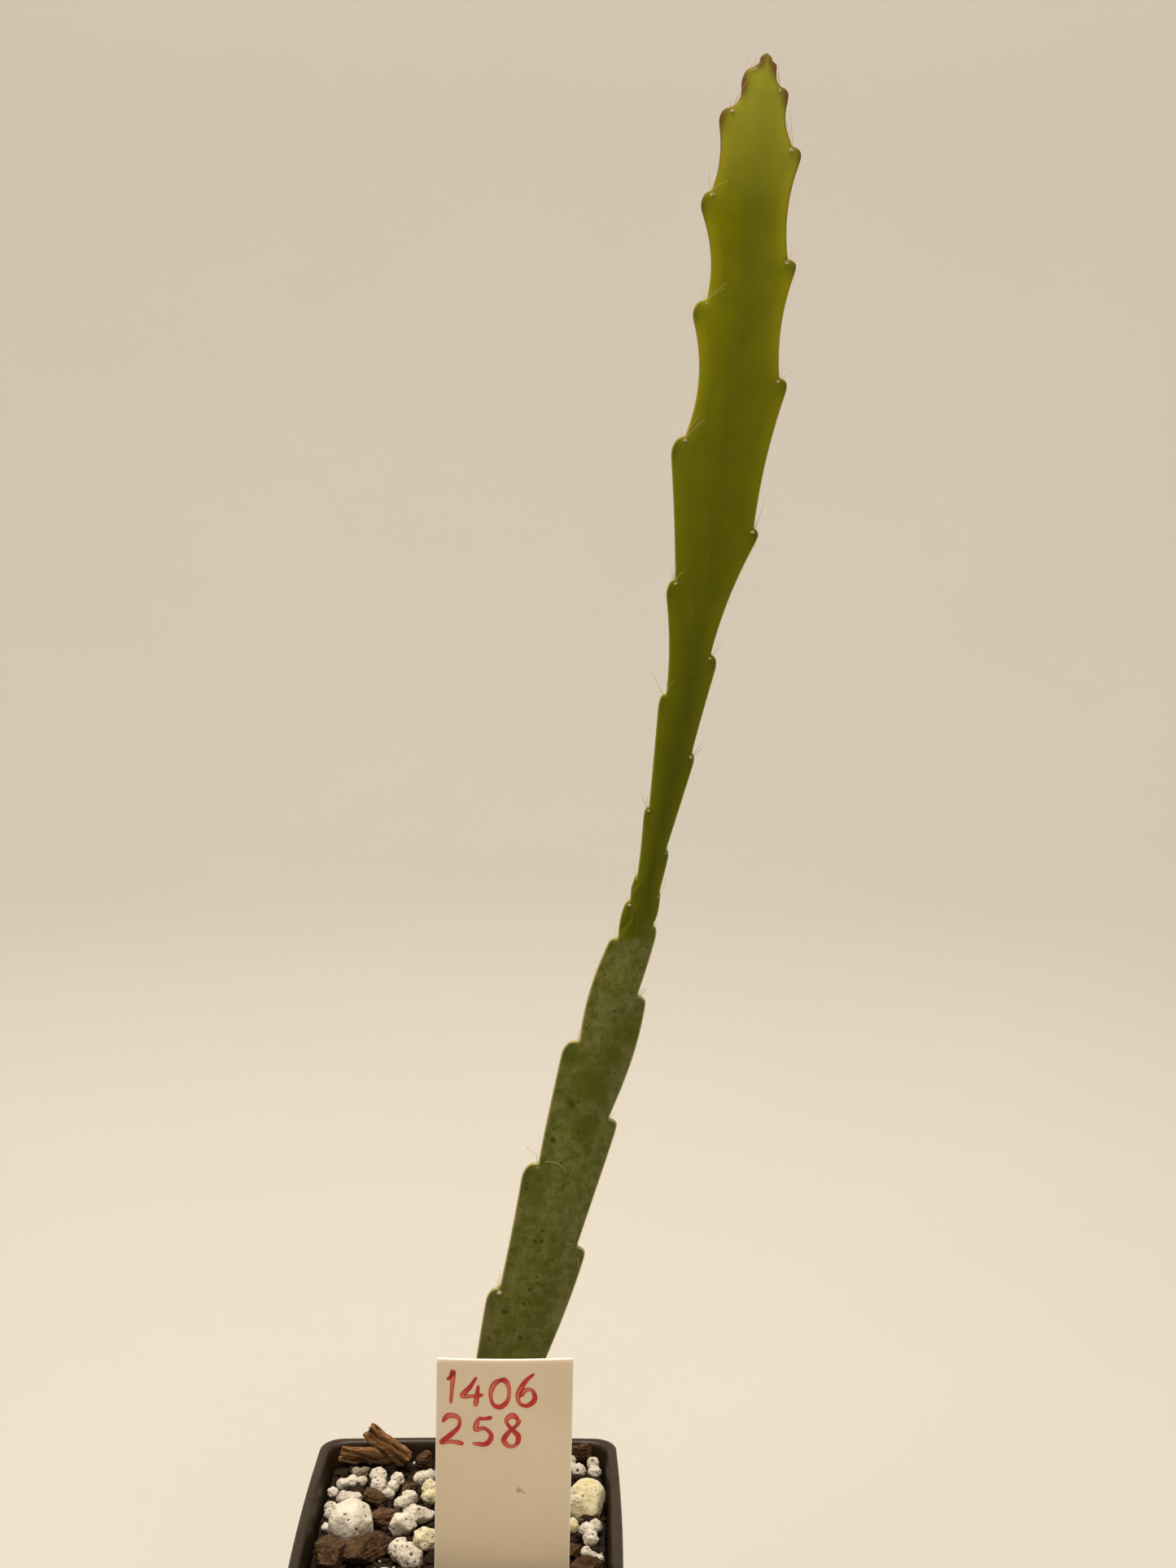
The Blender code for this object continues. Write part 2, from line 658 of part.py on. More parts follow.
def is_clear(balls, taken, room):
    """Whether these balls keep this room, seen from above, from all balls taken."""
    for x, y, _, radius, *_ in balls:
        for other in taken:
            if math.hypot(x - other[0], y - other[1]) < radius + other[3] + room:
                return False
    return True


def inside_pot(balls):
    """Whether these balls stay inside the pot's wall, its round corners too."""
    limit = inner_half(MIX_TOP) - 1.0
    for x, y, _, radius, *_ in balls:
        if max(abs(x), abs(y)) > limit - radius:
            return False
        over = min(abs(x), abs(y)) - (limit - RIM_CORNER)
        if over > 0.0 and max(abs(x), abs(y)) - (limit - RIM_CORNER) > 0.0:
            if math.hypot(abs(x) - limit + RIM_CORNER, abs(y) - limit + RIM_CORNER) > RIM_CORNER - radius:
                return False
    return True


def label_balls():
    """Balls along the label where it enters the mix."""
    middle = LABEL_TOP_X - (LABEL_TOP - MIX_TOP) * LABEL_ROLL
    return [(middle - 12.0 + 2.0 * k, LABEL_SOIL_Y, MIX_TOP, 1.5) for k in range(13)]


def fill_pieces(taken):
    """More perlite and bark where the photograph shows none or is cut off, by a seeded rule."""
    draw = random.Random(FILL_SEED)
    lumps = []
    chips = []
    tries = 0
    while (len(lumps) < PERLITE_MORE or len(chips) < BARK_MORE) and tries < FILL_TRIES:
        tries += 1
        x = draw.uniform(-FILL_REACH, FILL_REACH)
        y = draw.uniform(-FILL_REACH, FILL_REACH)
        heading = draw.uniform(0.0, 2.0 * math.pi)
        if len(lumps) < PERLITE_MORE:
            radius = draw.uniform(1.6, 3.0)
            lobes = [(x, y, MIX_TOP + 0.65 * radius, radius)]
            if draw.random() < 0.7:
                small = radius * draw.uniform(0.6, 0.9)
                step = (radius + small) * 0.74
                second_x = x + step * math.cos(heading)
                second_y = y + step * math.sin(heading)
                lobes.append((second_x, second_y, MIX_TOP + 0.6 * small, small))
            balls = lobes
        else:
            length = draw.uniform(2.2, 4.4)
            width = length * draw.uniform(0.45, 0.65)
            height = width * draw.uniform(0.6, 0.85)
            pose = (math.degrees(heading), draw.uniform(-12.0, 12.0))
            chip = (x, y, MIX_TOP + 0.7 * height, length, width, height, *pose)
            balls = chip_balls(chip)
        if not (inside_pot(balls) and is_clear(balls, taken, FILL_ROOM)):
            continue
        taken += balls
        if len(lumps) < PERLITE_MORE:
            lumps.append(lobes)
        else:
            chips.append(chip)
    return lumps, chips


def square_reach(dx, dy, half, corner, bow):
    """How far the outline lies in this direction, whose larger part is one."""
    small = min(abs(dx), abs(dy))
    flat = half - corner
    if small * half <= flat:
        return half + bow * (1.0 - (small * half / flat) ** 2)
    a = 1.0 + small * small
    b = -2.0 * flat * (1.0 + small)
    c = 2.0 * flat * flat - corner * corner
    return (-b + math.sqrt(b * b - 4.0 * a * c)) / (2.0 * a)


def mix_height(x, y, balls):
    """Height of the mix: rough, heaped a little at the back, and dented under each piece."""
    place = Vector((x, y, 0.0))
    rough = sum(noise.noise(place * scale + MIX_SHIFT * scale) * depth for scale, depth in MIX_WAVES)
    height = MIX_TOP + rough + MIX_HEAP * max(0.0, y) / INNER_TOP_HALF
    for bx, by, bz, radius, *shape in balls:
        reach = radius + SEAT + SEAT_SMALL / radius
        away = math.hypot(x - bx, y - by)
        if away < reach:
            flatness = shape[0] if shape else 1.0
            height = min(height, bz - flatness * math.sqrt(reach * reach - away * away))
    return height


def mix_points(half, balls):
    """A square grid of points, stretched to the outline of the pot's inside."""
    corner = corner_at(MIX_TOP) - GAP
    bow = bow_at(MIX_TOP) - GAP * 0.5
    points = []
    for j in range(MIX_CELLS + 1):
        for i in range(MIX_CELLS + 1):
            u = 2.0 * i / MIX_CELLS - 1.0
            v = 2.0 * j / MIX_CELLS - 1.0
            size = max(abs(u), abs(v))
            reach = square_reach(u / size, v / size, half, corner, bow) if size else 0.0
            points.append((u * reach, v * reach, mix_height(u * reach, v * reach, balls)))
    return points


def mix_body(balls, look):
    """The block of potting mix, with a rough top, in the shape of the pot's inside."""
    half = inner_half(MIX_TOP) - MIX_CLEAR
    points = mix_points(half, balls)
    count = MIX_CELLS
    at = [[j * (count + 1) + i for i in range(count + 1)] for j in range(count + 1)]
    faces = []
    for j in range(count):
        for i in range(count):
            a, b, c, d = at[j][i], at[j][i + 1], at[j + 1][i + 1], at[j + 1][i]
            faces += [(a, b, c), (a, c, d)] if (i + j) % 2 else [(a, b, d), (b, c, d)]
    rim = [at[0][i] for i in range(count)] + [at[j][count] for j in range(count)]
    rim += [at[count][i] for i in range(count, 0, -1)] + [at[j][0] for j in range(count, 0, -1)]
    foot_share = (inner_half(MIX_BOTTOM) - GAP - SIDE_BOW) / (half + SIDE_BOW)
    base = len(points)
    for index in rim:
        x, y, _ = points[index]
        points.append((x * foot_share, y * foot_share, MIX_BOTTOM))
    total = len(rim)
    for k in range(total):
        n = (k + 1) % total
        faces.append((rim[n], rim[k], base + k, base + n))
    faces.append(tuple(range(base, base + total))[::-1])
    return new_object("potting_mix", points, faces, look)


def crumbs(taken, look):
    """Small crumbs that stand half out of the mix."""
    draw = random.Random(FILL_SEED + 1)
    made = []
    tries = 0
    while len(made) < CRUMBS and tries < FILL_TRIES:
        tries += 1
        x = draw.uniform(-CRUMB_REACH, CRUMB_REACH)
        y = draw.uniform(-CRUMB_REACH, CRUMB_REACH)
        radius = draw.uniform(0.7, 1.5)
        ball = (x, y, MIX_TOP, radius)
        if not (inside_pot([ball]) and is_clear([ball], taken, FILL_ROOM)):
            continue
        taken.append(ball)
        radii = (radius, radius * draw.uniform(0.6, 0.95), radius * draw.uniform(0.5, 0.8))
        turn = Matrix.Rotation(draw.uniform(0.0, 3.0), 4, "Z")
        centre = Vector((x, y, mix_height(x, y, ()) + radii[2] * 0.25))
        made.append(rough_ball("crumb", centre, radii, turn, look, CRUMB_SEED + tries, 1))
    return made


def main():
    clear_scene()
    pot_look = material("pot_plastic", POT_COLOUR, 0.42)
    mix_look = material("mix", MIX_COLOUR, 0.95)
    stem_look = material("stem_skin", STEM_COLOUR, 0.5)
    label_look = material("label_plastic", LABEL_COLOUR, 0.5)
    perlite_look = material("perlite_white", PERLITE_COLOUR, 0.9)
    bark_look = material("bark_brown", BARK_COLOUR, 0.9)

    pot(pot_look)
    stem(stem_look)
    label_body("label", 0.0, label_look)

    solid = [ball for lobes in PERLITE_SEEN for ball in lobes]
    solid += [ball for chip in BARK_SEEN for ball in chip_balls(chip)]
    solid += [ball for one in STRIPS_SEEN for ball in strip_balls(*one[:3])]
    reserved = [(*STEM_FOOT[:2], MIX_TOP, STEM_FOOT[2])] + label_balls()
    taken = solid + reserved
    lumps, chips = fill_pieces(taken)
    solid += [ball for lobes in lumps for ball in lobes]
    solid += [ball for chip in chips for ball in chip_balls(chip)]

    for index, lobes in enumerate(list(PERLITE_SEEN) + lumps, 1):
        perlite(index, lobes, perlite_look)
    for index, chip in enumerate(list(BARK_SEEN) + chips, 1):
        bark(index, chip, bark_look)
    for index, (start, end, width, thick) in enumerate(STRIPS_SEEN, 1):
        strip(f"bark_strip_{index}", start, end, width, thick, bark_look, STRIP_SEED + index)

    mix = mix_body(solid, mix_look)
    combine(mix, crumbs(taken, mix_look), "UNION", "MANIFOLD")
    cutters = [stem_hole(mix_look), label_body("slot", GAP + 0.05, mix_look)]
    combine(mix, cutters, "DIFFERENCE", "MANIFOLD")


main()
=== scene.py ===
"""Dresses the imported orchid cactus, its pot and its top dressing, and lights it in a plain studio."""

import math
import random

import bmesh
import bpy
from mathutils import Matrix, Vector, kdtree, noise
from mathutils.bvhtree import BVHTree


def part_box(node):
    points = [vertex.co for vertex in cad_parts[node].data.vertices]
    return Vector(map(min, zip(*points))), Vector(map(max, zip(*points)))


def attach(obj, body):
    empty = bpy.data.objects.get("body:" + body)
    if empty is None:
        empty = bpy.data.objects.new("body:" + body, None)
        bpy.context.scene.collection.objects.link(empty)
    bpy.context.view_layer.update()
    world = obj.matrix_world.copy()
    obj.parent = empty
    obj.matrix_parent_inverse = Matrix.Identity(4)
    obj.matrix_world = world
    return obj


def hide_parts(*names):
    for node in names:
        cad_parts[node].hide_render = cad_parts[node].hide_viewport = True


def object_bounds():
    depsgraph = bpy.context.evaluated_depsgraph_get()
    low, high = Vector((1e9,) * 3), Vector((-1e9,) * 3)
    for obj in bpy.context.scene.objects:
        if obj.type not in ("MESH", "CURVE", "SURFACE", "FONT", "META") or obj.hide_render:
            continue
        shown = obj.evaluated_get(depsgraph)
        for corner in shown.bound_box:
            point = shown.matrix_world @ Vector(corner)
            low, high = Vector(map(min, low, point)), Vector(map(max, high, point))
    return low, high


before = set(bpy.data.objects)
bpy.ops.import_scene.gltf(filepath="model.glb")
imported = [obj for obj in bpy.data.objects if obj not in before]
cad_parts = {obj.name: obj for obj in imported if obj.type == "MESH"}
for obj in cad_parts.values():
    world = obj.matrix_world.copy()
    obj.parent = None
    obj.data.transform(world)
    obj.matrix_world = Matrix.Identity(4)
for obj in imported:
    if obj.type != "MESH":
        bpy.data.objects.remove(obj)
cad_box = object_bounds()

MM = 0.001
UP = Vector((0.0, 0.0, 1.0))
BACKWARDS = Vector((0.0, 1.0, 0.0))
QUARTER_TURN = math.pi / 2.0
# The noise that warps the perlite would start from the clock without a seed of its own.
NOISE_SEED = 3
noise.seed_set(NOISE_SEED)

# The camera, fitted to the photograph's pot rim: millimetres and degrees.
IMAGE_HEIGHT = 1927.0
FOCAL_PIXELS = 2400.0
SENSOR = 36.0
CAMERA_PLACE = (21.5, -366.6, 266.4)
CAMERA_PITCH = 8.88
CAMERA_YAW = 0.53
CAMERA_ROLL = 0.27

# The stem's driving values, as in the part's source: millimetres.
CENTRE_LINE = (
    (-4.2, 0.0, 34.0),
    (0.7, 0.0, 54.0),
    (10.3, -0.6, 93.4),
    (19.5, -1.2, 128.0),
    (29.8, -1.2, 163.4),
    (37.0, -0.6, 194.0),
    (43.2, 0.4, 228.0),
    (48.9, 1.2, 264.8),
    (53.0, 1.4, 300.0),
    (56.4, 0.8, 341.7),
)
# One row for each scallop: the cushion's place along the stem, the half width there, the half width
# halfway to the next crest, and the next crest's place and half width.
LEFT_TEETH = (
    (21.0, 4.6, 5.6, 46.2, 7.4),
    (48.5, 5.8, 7.1, 72.9, 8.2),
    (74.8, 6.2, 6.9, 98.8, 8.0),
    (101.2, 5.6, 6.7, 124.5, 7.6),
    (127.0, 5.0, 5.7, 147.8, 4.6),
    (148.8, 2.9, 3.3, 154.2, 3.4),
    (156.4, 2.5, 2.4, 158.9, 2.7),
    (161.6, 2.1, 2.6, 174.1, 3.3),
    (175.0, 2.6, 3.5, 195.5, 4.4),
    (196.8, 3.3, 4.4, 216.3, 6.6),
    (218.3, 5.3, 7.4, 242.2, 9.7),
    (244.8, 7.6, 6.4, 267.9, 8.9),
    (270.1, 6.6, 6.7, 287.4, 9.4),
    (289.6, 7.6, 6.7, 302.6, 7.5),
    (304.4, 5.4, 3.9, 308.8, 4.1),
    (311.8, 1.9, 1.4, 312.9, 1.15),
)
RIGHT_TEETH = (
    (21.0, 4.6, 4.7, 29.0, 5.6),
    (30.2, 4.4, 5.6, 53.6, 7.3),
    (54.9, 5.4, 7.5, 85.6, 8.5),
    (86.5, 6.4, 7.0, 112.5, 7.3),
    (113.4, 5.0, 6.0, 137.7, 5.6),
    (138.7, 3.5, 3.9, 151.5, 4.1),
    (152.7, 3.0, 3.4, 158.4, 3.2),
    (159.2, 2.8, 2.9, 166.5, 3.0),
    (167.6, 2.3, 3.2, 185.7, 4.2),
    (186.5, 3.5, 4.2, 204.2, 5.1),
    (205.5, 3.7, 5.4, 229.1, 8.9),
    (229.9, 7.8, 8.2, 256.7, 10.2),
    (257.6, 8.5, 7.6, 277.9, 9.1),
    (278.6, 7.4, 6.5, 297.4, 8.1),
    (298.4, 6.3, 4.6, 307.6, 4.8),
    (308.5, 3.1, 2.1, 312.3, 2.2),
)
# Along the stem: half thickness at the midrib, half thickness at the margins.
THICKNESS = (
    (0.0, 1.9, 1.1),
    (21.0, 2.3, 0.9),
    (60.0, 2.5, 0.6),
    (110.0, 2.3, 0.55),
    (146.0, 2.0, 0.5),
    (156.0, 2.0, 0.55),
    (185.0, 2.0, 0.5),
    (235.0, 1.9, 0.45),
    (290.0, 1.5, 0.42),
    (308.0, 1.1, 0.4),
    (314.4, 0.6, 0.38),
)
# Along the stem: how far the left and the right wing bend back.
WING_BEND = (
    (0.0, 0.0, 0.0),
    (30.0, 0.0, 0.0),
    (75.0, -0.9, 0.6),
    (112.0, 0.2, 2.0),
    (135.0, 0.6, 0.9),
    (155.0, 0.0, 0.0),
    (200.0, 0.3, -0.2),
    (243.0, -0.8, 1.0),
    (280.0, 0.9, -0.7),
    (306.0, 0.2, 0.2),
    (314.4, 0.0, 0.0),
)
BACK_RIB = ((144.0, 0.0), (149.0, 2.2), (152.0, 1.5), (160.0, 2.3), (164.0, 1.5), (178.0, 1.2), (196.0, 0.0))
BACK_RIB_LEAN = 0.9
TIP_HALF_WIDTH = 1.1
TIP_CAP = 1.0
TIP_RISE = 0.45
TIP_NOTCH = 313.15
# Where the old grey-green skin meets the new growth, and how that line rises to the right.
OLD_TOP = 150.2
OLD_TOP_RISE = 0.55
# How finely the middle line is drawn, and how many of its points back and ahead give its direction.
LINE_STEPS = 80
POINTS_BACK = 6
POINTS_AHEAD = 5
# The skin's rows along the stem, and its columns: evenly spaced inside, close together at a margin.
PLAIN_ROWS = 400
SHOULDER_ROWS = 15
CAP_TURNS = range(0, 90, 10)
CLOSEST_ROWS = 0.03
INNER_COLUMNS = 9
MARGIN_STEPS = (0.8, 0.5, 0.28, 0.12, 0.03, 0.0)
MARGIN_ROUNDING = 0.6
MARGIN_SPACING = 0.1
NARROW_SIDE = 1.8
# How a shoulder rounds over, and how far above its cushion it meets the next scallop.
CREST_EASE = 1.2
NOTCH_SHARE = 0.7
EASE_WEIGHTS = ((-1.0, 0.1), (-0.5, 0.25), (0.0, 0.3), (0.5, 0.25), (1.0, 0.1))
SHOULDER_POWERS = (2.5, 0.46)
KINK_RISE = 0.8
KINK_SHARE = 0.3
# The width without its scallops is a mean over this window, taken at even steps.
CALM_STEP = 2.0
CALM_WINDOW = range(-8, 9, 2)
# Where a lobe's crest is coloured, with painted shade lower down and red near the tip: above and inside its
# outermost point, and how far round it.
CREST_ABOVE = 0.4
CREST_INSIDE = 0.3
CREST_WIDTH = 2.0
# The veins: how far they rise to a cushion and how steeply, how far below it they end, their width.
VEIN_RISE = 9.0
VEIN_POWER = 1.2
VEIN_BELOW = 1.2
VEIN_WIDTH = 1.4
VEIN_START = 4.0
VEIN_HEIGHT = 0.10
# The crease on the old segment's right wing: from and to, its place, how far it drifts in, its width.
WING_FOLD = (88.0, 128.0)
WING_FOLD_PLACE = 5.4
WING_FOLD_DRIFT = 3.0
WING_FOLD_WIDTH = 0.7
# The second rib's face at the waist: from and to, its place, its sway and where that starts, its width.
WAIST_FOLD = (146.0, 164.0)
WAIST_FOLD_PLACE = -1.5
WAIST_FOLD_SWAY = 0.5
WAIST_FOLD_START = 148.8
WAIST_FOLD_WAVE = 7.6
WAIST_FOLD_WIDTH = 0.38
# The blade's section: a narrow hump on a wide one, and the third rib behind it.
MIDRIB_HUMP = 0.45
MIDRIB_WIDTH = 0.42
BLADE_HUMP = 0.55
LEAST_WIDTH = 0.6
WIDEST_SHARE = 1.2
RIB_WIDTH = 0.30
RIB_PINCH = 0.18
WAVE_ALONG = 0.16
WAVE_ACROSS = 0.22
WAVE_FACES_APART = 3.0
WAVE_HEIGHT = 0.10
TIP_RISE_LENGTH = 6.0

# Hairs that the photograph shows: the side, the scallop, how far it comes forward in front of the
# face, then its lean from upright in degrees and length in millimetres, stretch by stretch.
HAIRS = (
    (-1, 15, 0.0, (8, 1.6), (14, 1.4)),
    (-1, 14, 2.8, (26, 3.0), (31, 3.1)),
    (-1, 14, 0.2, (-4, 2.2)),
    (1, 15, 0.3, (-8, 2.2), (-7, 2.2)),
    (1, 14, 0.2, (-4, 3.8), (-6, 3.6)),
    (1, 14, 0.6, (-14, 3.3), (-9, 3.0)),
    (-1, 13, 0.2, (-8, 2.4), (0, 2.2)),
    (-1, 13, 2.0, (36, 1.9), (66, 1.9)),
    (1, 13, 0.4, (15, 1.8), (19, 1.6)),
    (-1, 12, 2.4, (34, 2.4), (54, 2.8)),
    (-1, 12, 2.2, (42, 2.2), (58, 2.1)),
    (1, 12, 0.4, (14, 2.9)),
    (-1, 11, 2.2, (24, 3.0), (43, 2.8)),
    (-1, 11, 2.4, (37, 2.6), (48, 3.0)),
    (-1, 11, 0.3, (-16, 1.4), (-6, 1.3)),
    (1, 11, 0.3, (19, 3.8), (16, 3.4)),
    (1, 11, 0.6, (19, 2.7), (17, 2.5)),
    (-1, 10, 0.6, (3, 1.9), (9, 2.0)),
    (-1, 10, 1.6, (25, 1.4), (39, 1.4)),
    (1, 10, 0.4, (-3, 1.6), (-8, 1.5)),
    (-1, 9, 0.2, (-29, 3.2), (-28, 3.0)),
    (-1, 9, 1.4, (18, 2.2), (33, 2.1)),
    (1, 9, 0.4, (-8, 1.4), (14, 1.3)),
    (-1, 8, 0.3, (-21, 2.0), (-19, 1.9)),
    (-1, 8, 0.6, (-6, 1.7), (6, 1.8)),
    (1, 5, 0.2, (46, 1.6), (42, 1.6)),
    (1, 5, 0.4, (24, 1.5), (38, 1.6)),
    (-1, 4, 1.0, (17, 2.4), (27, 2.4)),
    (-1, 4, 0.6, (3, 1.8), (20, 1.4)),
    (1, 4, 0.4, (10, 1.7), (35, 1.4)),
    (-1, 3, 3.4, (42, 1.2), (66, 1.6), (88, 1.5), (118, 1.6), (146, 1.4)),
    (-1, 3, 0.3, (-2, 2.6), (-56, 2.3), (62, 1.4)),
    (1, 3, 2.6, (-34, 2.9), (-40, 2.4)),
    (1, 3, 2.6, (-27, 1.9), (-64, 1.4)),
    (1, 3, 1.2, (8, 1.9), (22, 1.7)),
    (1, 3, 1.8, (168, 1.8), (174, 1.7)),
    (-1, 2, 0.3, (2, 2.4), (10, 2.4)),
    (-1, 2, 0.8, (16, 1.8), (22, 1.8)),
)
# Dark olive spots on the old skin: how far right and up they lie, and their radius.
SPOTS = (
    (22.1, 146.8, 0.75),
    (18.3, 139.4, 0.55),
    (21.3, 132.7, 0.40),
    (16.2, 119.2, 0.55),
    (15.0, 119.1, 0.38),
    (9.0, 104.3, 0.45),
    (21.5, 109.6, 0.42),
    (13.8, 109.2, 0.30),
    (12.6, 106.2, 0.26),
    (13.2, 129.4, 0.36),
    (28.2, 139.2, 0.32),
    (12.0, 99.2, 0.45),
)
# Wider olive patches, with the same kinds of number.
PATCHES = (
    (26.0, 151.2, 3.2),
    (24.6, 142.4, 2.6),
    (30.0, 156.5, 2.4),
    (32.5, 160.5, 2.6),
    (22.4, 156.0, 2.2),
)


def between(table, at, column=1):
    """The value of one column of a table at this place, eased from row to row."""
    if at <= table[0][0]:
        return table[0][column]
    for low, high in zip(table, table[1:]):
        if at <= high[0]:
            share = (at - low[0]) / (high[0] - low[0])
            share = share * share * (3.0 - 2.0 * share)
            return low[column] + (high[column] - low[column]) * share
    return table[-1][column]


def held(value):
    """The value, held between none and one."""
    return min(1.0, max(0.0, value))


def bell(away, width):
    """One in the middle, and less and less away from it."""
    return math.exp(-((away / width) ** 2))


def quarter_round(share):
    """How high a quarter circle stands at this share of its width."""
    return math.sqrt(max(0.0, 1.0 - (1.0 - share) ** 2))


def ripples(place, layers, shift=Vector()):
    """The sum of several noises: for each, how often it repeats and how high it stands."""
    return sum(noise.noise(place * often + shift) * high for often, high in layers)


def curve_through(knots, steps):
    """Points on a smooth curve through the knots."""
    ends = [2.0 * knots[0] - knots[1]] + knots + [2.0 * knots[-1] - knots[-2]]
    found = []
    for a, b, c, d in zip(ends, ends[1:], ends[2:], ends[3:]):
        for step in range(steps):
            t = step / steps
            bend = (2.0 * a - 5.0 * b + 4.0 * c - d) * t * t + (3.0 * b - a - 3.0 * c + d) * t ** 3
            found.append(0.5 * (2.0 * b + (c - a) * t + bend))
    found.append(knots[-1])
    return found


def run_lengths(points):
    """How far along a line each of its points lies."""
    lengths = [0.0]
    for a, b in zip(points, points[1:]):
        lengths.append(lengths[-1] + (b - a).length)
    return lengths


def way_at(line, k):
    """A line's direction at one of its points."""
    return (line[min(k + 1, len(line) - 1)] - line[max(k - 1, 0)]).normalized()


def linked(name, data):
    obj = bpy.data.objects.new(name, data)
    bpy.context.scene.collection.objects.link(obj)
    return obj


def baked(name, work):
    """Turns a working mesh into a mesh of its own."""
    mesh = bpy.data.meshes.new(name)
    work.to_mesh(mesh)
    work.free()
    return mesh


def smooth(mesh):
    mesh.polygons.foreach_set("use_smooth", [True] * len(mesh.polygons))


def new_mesh_object(name, points, faces, look, unit=MM):
    mesh = bpy.data.meshes.new(name)
    mesh.from_pydata([point * unit for point in points], [], faces)
    mesh.update()
    smooth(mesh)
    mesh.materials.append(look)
    return linked(name, mesh)


def ring_faces(rings, count, base=0):
    """Faces of a closed skin: rings of this many points, each joined to the next, with a lid at each end."""
    faces = []
    last = base + (rings - 1) * count
    for low in range(base, last, count):
        for i in range(count):
            j = (i + 1) % count
            faces.append((low + i, low + j, low + count + j, low + count + i))
    faces.append(tuple(range(base, base + count))[::-1])
    faces.append(tuple(range(last, last + count)))
    return faces


def add_values(obj, name, values):
    """Stores one number for each point of a mesh, for its material to read."""
    layer = obj.data.attributes.new(name, "FLOAT", "POINT")
    layer.data.foreach_set("value", values)


def apply_modifiers(obj):
    """Turns an object's modifiers into its own mesh."""
    graph = bpy.context.evaluated_depsgraph_get()
    mesh = bpy.data.meshes.new_from_object(obj.evaluated_get(graph))
    obj.modifiers.clear()
    old = obj.data
    obj.data = mesh
    bpy.data.meshes.remove(old)


class Nodes:
    """Short calls for building one node material."""

    def __init__(self, name, roughness, gloss=0.5):
        self.material = bpy.data.materials.new(name)
        self.material.use_nodes = True
        self.tree = self.material.node_tree
        self.shader = self.tree.nodes["Principled BSDF"]
        self.surface("Roughness", roughness)
        self.surface("Specular IOR Level", gloss)

    def feed(self, socket, value):
        """Links a value to a socket, or sets the socket to it."""
        if isinstance(value, bpy.types.NodeSocket):
            self.tree.links.new(value, socket)
        else:
            socket.default_value = value

    def surface(self, name, value):
        self.feed(self.shader.inputs[name], value)

    def put(self, kind, inputs=(), **settings):
        node = self.tree.nodes.new(kind)
        for key, value in settings.items():
            setattr(node, key, value)
        for key, value in dict(inputs).items():
            self.feed(node.inputs[key], value)
        return node

    def place(self):
        return self.put("ShaderNodeTexCoord").outputs["Object"]

    def value(self, name):
        return self.put("ShaderNodeAttribute", attribute_name=name).outputs["Fac"]

    def stretched(self, scale, turn=(0.0, 0.0, 0.0)):
        inputs = {"Vector": self.place(), "Scale": scale, "Rotation": turn}
        return self.put("ShaderNodeMapping", inputs).outputs["Vector"]

    def noise(self, scale, detail=3.0, rough=0.55, vector=None):
        inputs = {"Vector": vector or self.place(), "Scale": scale, "Detail": detail, "Roughness": rough}
        return self.put("ShaderNodeTexNoise", inputs).outputs["Fac"]

    def cells(self, scale):
        return self.put("ShaderNodeTexVoronoi", {"Vector": self.place(), "Scale": scale}).outputs

    def ramp(self, factor, low, high, first=0.0, second=1.0):
        """Maps a factor from one range to another, held at the ends."""
        inputs = {"Value": factor, "From Min": low, "From Max": high, "To Min": first, "To Max": second}
        return self.put("ShaderNodeMapRange", inputs, clamp=True).outputs["Result"]

    def math(self, operation, a, b):
        return self.put("ShaderNodeMath", {0: a, 1: b}, operation=operation).outputs["Value"]

    def times(self, a, b):
        return self.math("MULTIPLY", a, b)

    def plus(self, a, b):
        return self.math("ADD", a, b)

    def distance(self, a, b):
        return self.put("ShaderNodeVectorMath", {0: a, 1: b}, operation="DISTANCE").outputs["Value"]

    def mix(self, factor, a, b):
        """Mixes two colours, each a socket or three numbers."""
        node = self.put("ShaderNodeMix", data_type="RGBA")
        for index, value in ((0, factor), (6, a), (7, b)):
            self.feed(node.inputs[index], (*value, 1.0) if isinstance(value, tuple) else value)
        return node.outputs[2]

    def layers(self, base, *pairs):
        """Lays colours over a base one after another, each with the factor that shows it."""
        for factor, colour in pairs:
            base = self.mix(factor, base, colour)
        return base

    def specks(self, scale, size, share, feather=0.1):
        """Scattered round specks: one inside each speck, none between them."""
        cells = self.cells(scale)
        inside = self.ramp(cells["Distance"], size, size + feather, 1.0, 0.0)
        chosen = self.ramp(cells["Color"], 1.0 - share, 1.0 - share + 0.02)
        return self.times(inside, chosen)

    def blots(self, table, depth, wobble, soft):
        """Single spots on the front: one inside each, none outside. The table is in millimetres."""
        flattened = 0.25
        flat = self.stretched((1.0, flattened, 1.0))
        total = 0.0
        for x, z, radius in table:
            away = self.plus(self.distance(flat, Vector((x, depth * flattened, z)) * MM), wobble)
            inside = self.ramp(away, radius * MM * (1.0 - soft), radius * MM * (1.0 + soft), 1.0, 0.0)
            total = self.math("MAXIMUM", inside, total)
        return total

    def bump(self, height, distance, strength):
        inputs = {"Height": height, "Distance": distance, "Strength": strength}
        self.surface("Normal", self.put("ShaderNodeBump", inputs).outputs["Normal"])


LINE = curve_through([Vector(point) for point in CENTRE_LINE], LINE_STEPS)
LENGTHS = run_lengths(LINE)
STEM_LENGTH = LENGTHS[-1]


